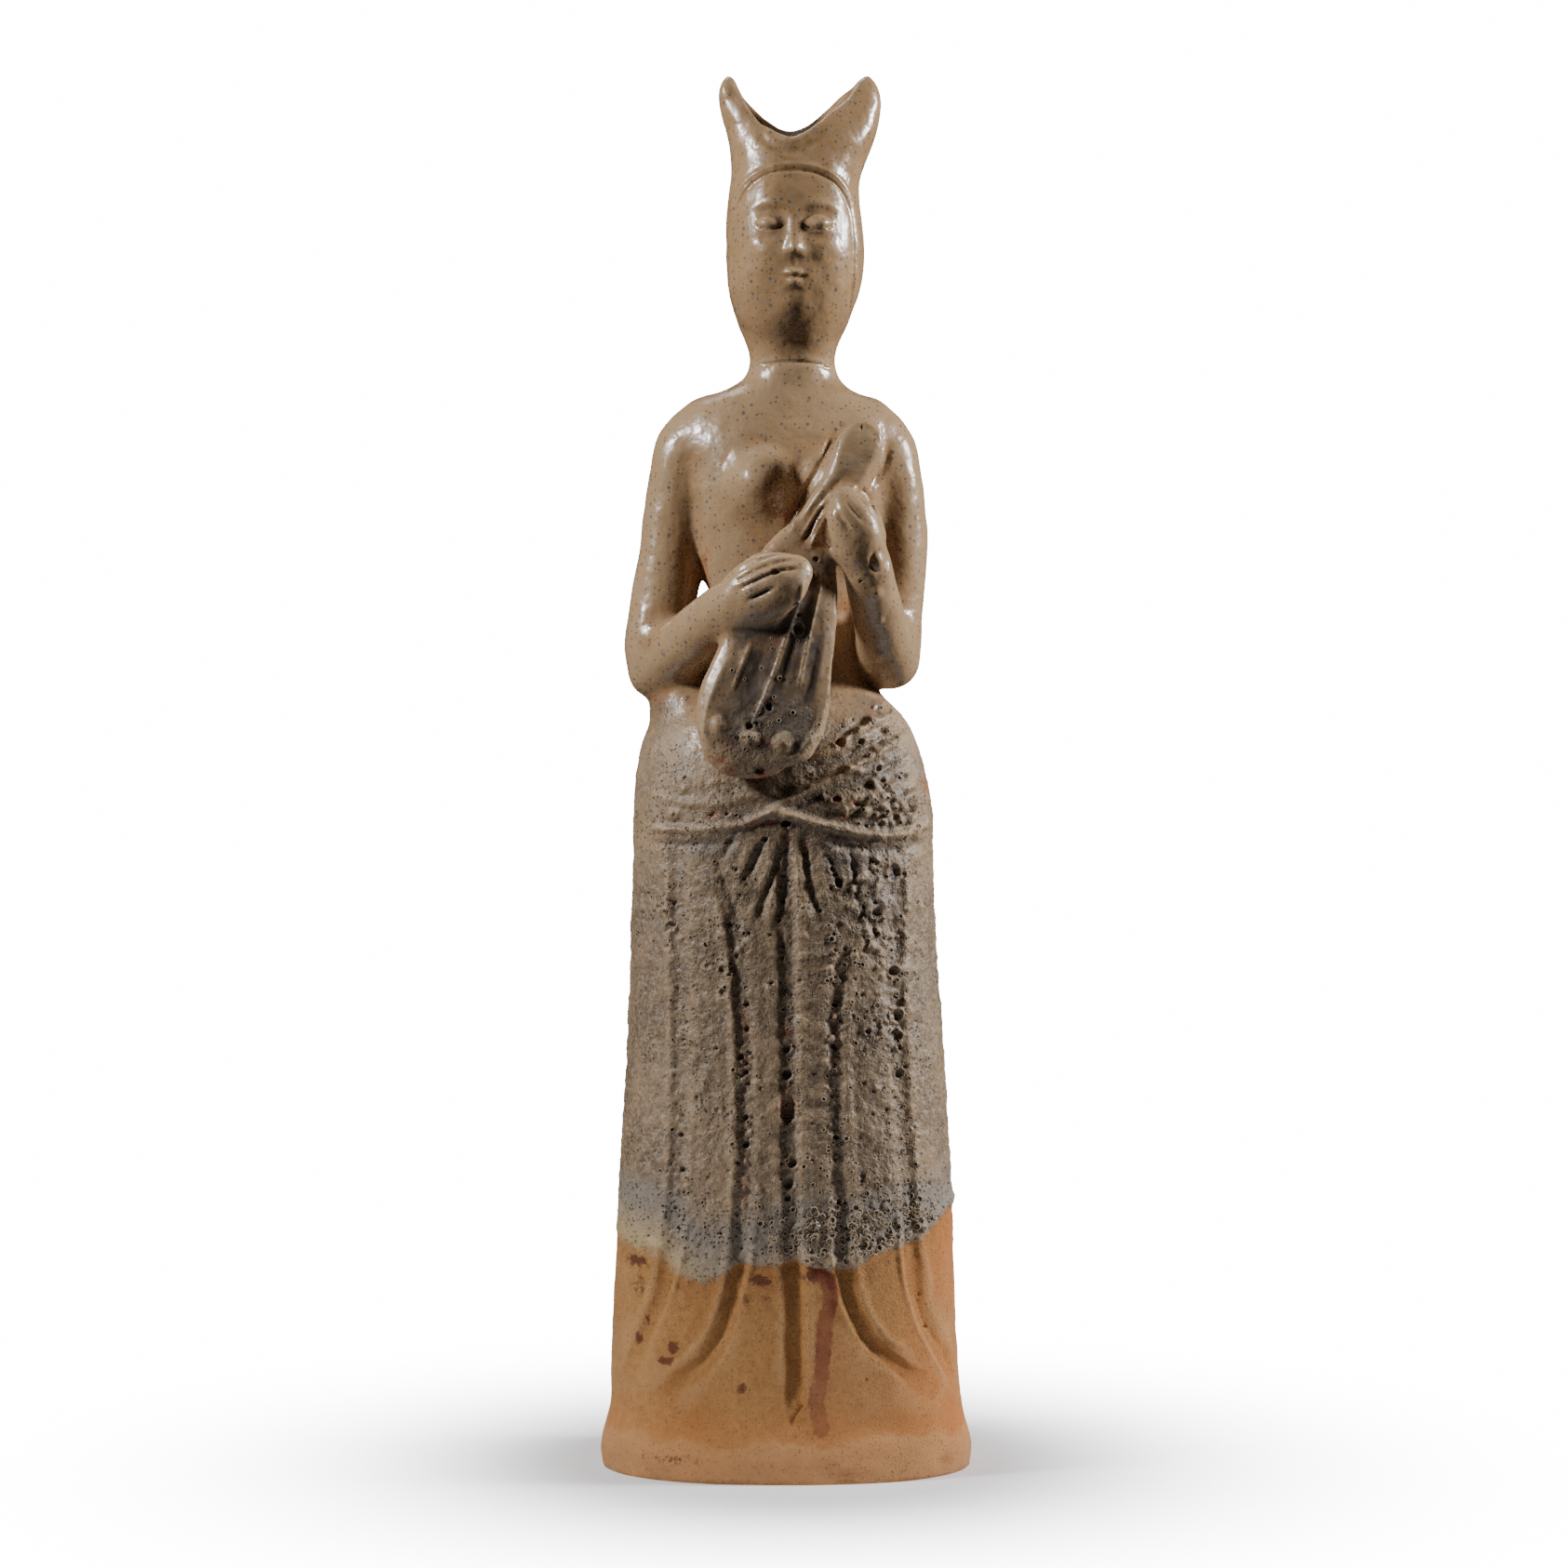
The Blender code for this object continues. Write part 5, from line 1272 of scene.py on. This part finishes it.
# The bare clay, what fired orange in it, its darker bottom and its iron.
BUFF = (0.54, 0.262, 0.078)
ORANGE_BUFF = (0.41, 0.168, 0.040)
SANDY_BUFF = (0.34, 0.175, 0.070)
SMEARED_BUFF = (0.34, 0.145, 0.042)
FLUSHED_BUFF = (0.60, 0.205, 0.048)
WORN_BUFF = (0.74, 0.45, 0.21)
HOLLOW_BUFF = (0.36, 0.175, 0.060)
FOOT_BOTTOM_DARK = (0.30, 0.105, 0.024)
CLAY_CRUMB = (0.20, 0.095, 0.040)
IRON_STAIN = (0.15, 0.042, 0.012)
IRON_RUN = (0.22, 0.045, 0.011)


def upper_glaze(s, hollow, lower, froth):
    """The glaze's colour: glossy taupe above, speckled grey below, blue-grey where it pools, and
    darkened with painted shade in the pegbox's dish and under the chin.
    """
    taupe = s.blend(s.between(s.noise(26.0, 4.0, 0.6), 0.35, 0.68), FAWN, BROWN_FAWN)
    taupe = s.blend(s.between(s.noise(420.0, 2.0), 0.35, 0.75), taupe, CLOUDED_FAWN)
    grey = s.blend(s.between(s.noise(34.0, 5.0, 0.65), 0.35, 0.65), WARM_GREY, DARK_GREY)
    grey = s.blend(s.between(s.noise(700.0, 3.0, 0.7), 0.42, 0.72), grey, PALE_GREY)
    colour = s.blend(lower, taupe, grey)
    ridge = s.between(hollow, -0.08, -0.5)
    colour = s.blend(s.product(ridge, 0.6), colour, RIDGE_FAWN)
    frothy = s.product(s.between(froth, 0.1, 0.8), lower)
    colour = s.blend(s.product(frothy, 0.7), colour, FROTH_GREY)
    dip = s.between(hollow, 0.05, 0.65)
    colour = s.blend(s.product(dip, lower, 0.55), colour, FOLD_GREY)
    # Pools and hollows darken to brown; in the pegbox's dish and under the chin this is painted shade.
    pooled_and_shaded = s.product(s.attribute("pool_and_shade"), s.between(s.noise(90.0, 4.0), 0.3, 0.65))
    pooled_and_shaded = s.math("MAXIMUM", pooled_and_shaded, s.product(dip, 0.22))
    colour = s.blend(s.product(pooled_and_shaded, 0.85), colour, POOL_AND_SHADE_BROWN)
    milky = s.product(pooled_and_shaded, s.between(s.noise(160.0, 3.0), 0.55, 0.75, 0.0, 0.7))
    colour = s.blend(milky, colour, POOL_MILK)
    film = s.product(s.attribute("board"), s.between(hollow, -0.30, 0.02))
    film = s.product(film, s.between(s.noise(110.0, 4.0, 0.6), 0.28, 0.62, 0.35, 0.9))
    colour = s.blend(film, colour, BOARD_BROWN)
    lavender = s.between(s.noise(210.0, 4.0, 0.6), 0.56, 0.72, 0.0, 0.6)
    colour = s.blend(s.product(s.attribute("board"), lavender), colour, LAVENDER_GREY)
    colour = s.blend(s.product(s.attribute("wash"), 0.9), colour, CREAM_WASH)
    burnt = s.product(s.attribute("rust"), s.between(s.noise(330.0, 4.0, 0.6), 0.38, 0.58))
    return s.blend(burnt, colour, BURNT_RUST), frothy


def glaze_specks(s, colour, lower, froth):
    """Iron specks and blue-black flecks in the glaze, and pinholes in its thick lower part, darkened
    with painted shade.
    """
    mottle = s.between(s.noise(900.0, 3.0, 0.7), 0.56, 0.74)
    colour = s.blend(s.product(mottle, 0.4), colour, BROWN_MOTTLE)
    colour = s.blend(s.product(s.specks(600.0, 0.34, 0.36), 0.65), colour, IRON_SPECK)
    colour = s.blend(s.product(s.specks(300.0, 0.27, 0.24), 0.6), colour, BLUE_FLECK)
    large = s.product(s.specks(110.0, 0.20, 0.14), s.between(s.noise(700.0), 0.4, 0.6), 0.5)
    colour = s.blend(large, colour, LARGE_BLUE_FLECK)
    patches = s.product(lower, s.between(s.noise(55.0, 3.0), 0.42, 0.62))
    where = s.math("MAXIMUM", patches, s.between(froth, 0.2, 0.7))
    pins = s.product(s.specks(640.0, 0.36, 0.55), where)
    # The pinholes are darkened with painted shade, and sunk a little by the bump below.
    return s.blend(s.product(pins, 0.8), colour, PINHOLE_SHADE), pins


def bare_clay(s, hollow):
    """Buff clay that fired orange to the right and low down, with crumbs and iron stains."""
    clay = s.blend(s.between(s.noise(22.0, 4.0, 0.6), 0.38, 0.66), BUFF, ORANGE_BUFF)
    clay = s.blend(s.between(s.noise(1500.0, 3.0, 0.7), 0.42, 0.70, 0.0, 0.5), clay, SANDY_BUFF)
    clay = s.blend(s.between(s.noise(360.0, 5.0, 0.75), 0.42, 0.68, 0.0, 0.55), clay, SMEARED_BUFF)
    axes = s.add("ShaderNodeSeparateXYZ", {"Vector": s.place})
    across = axes.outputs["X"]
    level = axes.outputs["Z"]
    low = s.between(level, 2 * UNIT, 34 * UNIT, 0.85, 0.0)
    flush = s.math("MAXIMUM", s.between(across, 30 * UNIT, 62 * UNIT), low)
    flush = s.product(flush, s.between(s.noise(45.0, 4.0), 0.25, 0.6, 0.35, 1.0))
    clay = s.blend(flush, clay, FLUSHED_BUFF)
    # Darker towards the bottom of the foot.
    darker_low = s.between(level, 3 * UNIT, 18 * UNIT, 0.75, 0.0)
    darker_low = s.product(darker_low, s.between(s.noise(120.0, 5.0, 0.7), 0.30, 0.60, 0.45, 1.0))
    clay = s.blend(darker_low, clay, FOOT_BOTTOM_DARK)
    clay = s.blend(s.between(hollow, -0.08, -0.5, 0.0, 0.30), clay, WORN_BUFF)
    clay = s.blend(s.between(hollow, 0.05, 0.55, 0.0, 0.10), clay, HOLLOW_BUFF)
    clay = s.blend(s.product(s.specks(850.0, 0.34, 0.32), 0.6), clay, CLAY_CRUMB)
    stain = s.attribute("stain")
    blot = s.between(s.math("ADD", stain, s.fray(420.0, 6.0, 0.8, 2.4)), 0.42, 0.62)
    clay = s.blend(s.product(blot, s.between(stain, 0.1, 0.7, 0.25, 0.95)), clay, IRON_STAIN)
    run = s.math("ADD", s.attribute("iron_streak"), s.fray(300.0, 5.0, 0.7, 1.0))
    run = s.product(s.between(run, 0.30, 0.62), s.between(s.noise(150.0, 4.0), 0.3, 0.6, 0.7, 1.0))
    run = s.product(run, s.between(level, 18 * UNIT, 66 * UNIT, 0.55, 1.0))
    return s.blend(run, clay, IRON_RUN)


def glazed_stoneware():
    """Glaze over buff clay, laid out by the figure's own attributes."""
    s = Shading("glazed_stoneware")
    hollow = s.attribute("hollow")
    froth = s.attribute("froth")
    height = s.attribute("above_glaze_edge")
    softness = s.math("MULTIPLY_ADD", s.attribute("wash"), 3.0, 0.7)
    ragged = s.math("ADD", height, s.fray(230.0, 4.0, 0.65, 9.0))
    glazed = s.between(s.math("DIVIDE", ragged, softness), -1.0, 1.0)
    drift = s.product(s.noise(40.0, 3.0), 50.0)
    lower = s.between(s.math("ADD", height, drift), 203, 233, 1.0, 0.0)
    colour, frothy = upper_glaze(s, hollow, lower, froth)
    colour, pins = glaze_specks(s, colour, lower, froth)
    s.put(s.shader.inputs["Base Color"], s.blend(glazed, bare_clay(s, hollow), colour))

    shine = s.between(lower, 0.0, 1.0, 0.22, 0.46)
    shine = s.math("ADD", shine, s.between(s.noise(180.0, 3.0), 0.3, 0.7, -0.04, 0.12))
    shine = s.math("ADD", shine, s.product(frothy, 0.15))
    shine = s.math("ADD", shine, s.product(s.attribute("board"), 0.16))
    s.put(s.shader.inputs["Roughness"], s.between(glazed, 0.0, 1.0, 0.86, shine))

    pebbled = s.product(s.noise(520.0, 3.0, 0.65), lower, glazed)
    normal = s.bump(pebbled, 0.0012, 0.6)
    normal = s.bump(s.product(pins, -1.0), 0.0006, 0.8, normal)
    normal = s.bump(s.product(s.noise(150.0, 2.5), glazed), 0.0015, 0.45, normal)
    grain = s.product(s.noise(1500.0, 4.0, 0.7), s.math("SUBTRACT", 1.0, glazed))
    normal = s.bump(grain, 0.0010, 1.0, normal)
    normal = s.bump(glazed, 0.0005, 0.6, normal)
    s.put(s.shader.inputs["Normal"], normal)
    return s.material


glaze = glazed_stoneware()
for part in (body, head):
    part.data.materials.clear()
    part.data.materials.append(glaze)


# The smallest burst blisters are thin raised rings of glaze, each round a dark disc of painted
# shade that stands for its hole, scattered down the channels, in a drift high on the left of the
# skirt and thickest in the froth below.

BLISTER_SEED = 11
BLISTER_SIDES = 12
RIM_THICKNESS = 0.26
RIM_COLOUR = (0.36, 0.27, 0.18)
# The dark floor inside each ring is painted shade that stands for the blister's hole.
HOLE_SHADE_COLOUR = (0.022, 0.016, 0.012)
FAR_IN_FRONT = -100.0
BLISTER_DRIFTS = [
    # X, Z, spread X, spread Z, how many, smallest and largest radius
    (-41.0, 204.0, 6.0, 9.0, 46, 0.5, 1.0),
    (-33.0, 190.0, 9.0, 16.0, 30, 0.45, 0.9),
    (-18.0, 170.0, 2.4, 34.0, 40, 0.45, 0.95),
    (-0.6, 150.0, 2.2, 40.0, 26, 0.45, 0.9),
    (17.2, 140.0, 2.4, 40.0, 46, 0.45, 0.95),
    (38.5, 165.0, 3.0, 30.0, 44, 0.5, 1.1),
    (29.0, 195.0, 8.0, 20.0, 54, 0.5, 1.1),
    (-39.0, 130.0, 2.6, 30.0, 34, 0.45, 0.9),
    (40.5, 118.0, 3.0, 22.0, 26, 0.45, 0.9),
    (4.0, 88.0, 9.0, 5.0, 150, 0.45, 1.1),
    (26.0, 89.0, 11.0, 5.0, 260, 0.45, 1.25),
    (46.0, 94.0, 8.0, 5.0, 130, 0.45, 1.25),
    (20.0, 104.0, 20.0, 8.0, 90, 0.4, 0.8),
    (-30.0, 92.0, 14.0, 9.0, 70, 0.35, 0.75),
    (34.0, 243.0, 10.0, 7.0, 36, 0.45, 1.0),
    (28.0, 262.0, 8.0, 5.0, 16, 0.45, 0.9),
    (-4.0, 290.0, 9.0, 14.0, 16, 0.4, 0.8),
    (-10.0, 268.0, 10.0, 6.0, 10, 0.45, 0.8),
    (-30.0, 234.0, 13.0, 4.0, 20, 0.4, 0.8),
]


def blister_places(surface):
    """A spot on the skin, the way it faces and a radius, for each blister."""
    chance = np.random.default_rng(BLISTER_SEED)
    spots = []
    for x, z, spread_x, spread_z, how_many, smallest, largest in BLISTER_DRIFTS:
        for _ in range(how_many):
            start = (chance.normal(x, spread_x), FAR_IN_FRONT, chance.normal(z, spread_z))
            radius = smallest + (largest - smallest) * chance.random() ** 1.6
            bare = start[2] < glaze_edge_at(start[0]) + 1.5
            hit, facing, _, _ = surface.ray_cast(Vector(start) * UNIT, Vector((0, 1, 0)))
            if hit is not None and not bare and facing.y < -0.35:
                spots.append((hit, facing, radius))
    return spots


def blister_tree(rim, hole_shade):
    """Sets a ring with a dark floor of painted shade on each point, facing the way its skin faces."""
    nodes = ClayNodes("Burst blisters", {"Rim Thickness": "NodeSocketFloat"})

    def painted(mesh, material):
        """This mesh, all of one material."""
        node = nodes.add("GeometryNodeSetMaterial", {"Geometry": mesh, "Material": material})
        return node.outputs["Geometry"]

    circle = nodes.add(
        "GeometryNodeCurvePrimitiveCircle", {"Resolution": BLISTER_SIDES, "Radius": 1.0}
    )
    section = nodes.add(
        "GeometryNodeCurvePrimitiveCircle", {"Resolution": 4, "Radius": nodes.given("Rim Thickness")}
    )
    ring = nodes.add(
        "GeometryNodeCurveToMesh",
        {"Curve": circle.outputs["Curve"], "Profile Curve": section.outputs["Curve"]}
    )
    # The dark floor is painted shade for the blister's hole.
    floor = nodes.add(
        "GeometryNodeMeshCircle", {"Vertices": BLISTER_SIDES, "Radius": 0.95}, fill_type="NGON"
    )
    both = nodes.add("GeometryNodeJoinGeometry", {})
    nodes.put(both.inputs["Geometry"], painted(floor.outputs["Mesh"], hole_shade))
    nodes.put(both.inputs["Geometry"], painted(ring.outputs["Mesh"], rim))
    turn = nodes.add(
        "FunctionNodeAlignRotationToVector",
        {"Vector": nodes.attribute("facing", "FLOAT_VECTOR")}, axis="Z"
    )
    scatter = nodes.add(
        "GeometryNodeInstanceOnPoints",
        {"Points": nodes.given("Geometry"), "Instance": both.outputs["Geometry"],
         "Rotation": turn.outputs["Rotation"], "Scale": nodes.attribute("radius")}
    )
    real = nodes.add("GeometryNodeRealizeInstances", {"Geometry": scatter.outputs["Instances"]})
    return nodes.finished(real.outputs["Geometry"])


def plain_paint(name, colour, roughness):
    """A material of one even colour and sheen."""
    s = Shading(name)
    s.shader.inputs["Base Color"].default_value = (*colour, 1)
    s.shader.inputs["Roughness"].default_value = roughness
    return s.material


def burst_blisters():
    """Every small burst blister as one mesh."""
    spots = blister_places(BVHTree.FromObject(body, bpy.context.evaluated_depsgraph_get()))
    mesh = bpy.data.meshes.new("blister_spots")
    mesh.from_pydata([spot[0] for spot in spots], [], [])
    set_attribute(mesh, "radius", np.array([spot[2] for spot in spots]) * UNIT)
    facing = mesh.attributes.new("facing", "FLOAT_VECTOR", "POINT")
    facing.data.foreach_set("vector", np.array([spot[1] for spot in spots], np.float32).ravel())
    rim = plain_paint("blister_rim", RIM_COLOUR, 0.35)
    # A near-black paint for the painted shade inside each blister's hole.
    hole_shade = plain_paint("blister_hole", HOLE_SHADE_COLOUR, 0.5)
    start = placed("blister_spots", mesh)
    run_nodes(start, blister_tree(rim, hole_shade), {"Rim Thickness": RIM_THICKNESS})
    made = placed("burst_blisters", finished_mesh(start))
    made.data.shade_smooth()
    return made


blisters = burst_blisters()
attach(blisters, "root")


# The studio: a white floor that melts into white air a little way from the figure, one soft
# light at each side, two weak ones, and the camera a little above the middle of the figure.
# Its sizes are in metres.

FLOOR_RADIUS = 0.6
FLOOR_SOLID = 0.07
FLOOR_GONE = 0.30
CAMERA_PLACE = (-0.0017, -1.6, 0.30)
CAMERA_TILT = 1.948
LENS = 101.7
SENSOR = 36.0


def floor_disc():
    """The floor as a flat disc."""
    sheet = bmesh.new()
    bmesh.ops.create_circle(sheet, cap_ends=True, radius=FLOOR_RADIUS, segments=96)
    return made_object("studio_floor", sheet)


def floor_paint():
    """White paint that fades away with the distance from the middle."""
    s = Shading("white_floor")
    reach = s.add("ShaderNodeVectorMath", {"Vector": s.place}, operation="LENGTH")
    s.shader.inputs["Base Color"].default_value = (0.72, 0.72, 0.73, 1)
    s.shader.inputs["Roughness"].default_value = 0.9
    s.shader.inputs["Emission Color"].default_value = (1, 1, 1, 1)
    s.shader.inputs["Emission Strength"].default_value = 0.24
    fading = s.between(reach.outputs["Value"], FLOOR_SOLID, FLOOR_GONE, 1.0, 0.0)
    s.put(s.shader.inputs["Alpha"], fading)
    return s.material


floor = floor_disc()
floor.data.materials.append(floor_paint())


def soft_light(name, place, aim, width, height, power):
    """A rectangular light of this size, turned to its aim."""
    lamp = bpy.data.lights.new(name, "AREA")
    lamp.shape = "RECTANGLE"
    lamp.size = width
    lamp.size_y = height
    lamp.energy = power
    made = placed(name, lamp)
    made.location = place
    made.rotation_euler = (Vector(aim) - Vector(place)).to_track_quat("-Z", "Y").to_euler()


soft_light("left_softbox", (-1.03, -0.37, 0.86), (0, 0, 0.27), 0.17, 0.22, 18.0)
soft_light("right_softbox", (1.15, -0.02, 0.74), (0, 0, 0.25), 0.20, 0.26, 26.0)
soft_light("front_softbox", (0.1, -1.8, 1.3), (0, 0, 0.25), 1.0, 0.8, 0.15)
soft_light("top_softbox", (-0.3, 0.5, 1.5), (0, 0, 0.40), 0.5, 0.5, 4.5)


def white_air():
    """A world that looks white and lights the figure only weakly."""
    world = bpy.data.worlds.new("white_air")
    world.use_nodes = True
    nodes = NodeTree(world.node_tree)
    seen = nodes.add("ShaderNodeLightPath", {}).outputs["Is Camera Ray"]
    strength = nodes.add("ShaderNodeMapRange", {"Value": seen, "To Min": 0.008, "To Max": 16.0})
    background = world.node_tree.nodes["Background"]
    nodes.put(background.inputs["Color"], (1, 1, 1, 1))
    nodes.put(background.inputs["Strength"], strength.outputs["Result"])
    return world


bpy.context.scene.world = white_air()

camera_data = bpy.data.cameras.new("studio_camera")
camera_data.sensor_width = SENSOR
camera_data.lens = LENS
camera_data.clip_start = 0.05
camera = placed("studio_camera", camera_data)
camera.location = CAMERA_PLACE
camera.rotation_euler = (math.radians(90 - CAMERA_TILT), 0, 0)
bpy.context.scene.camera = camera
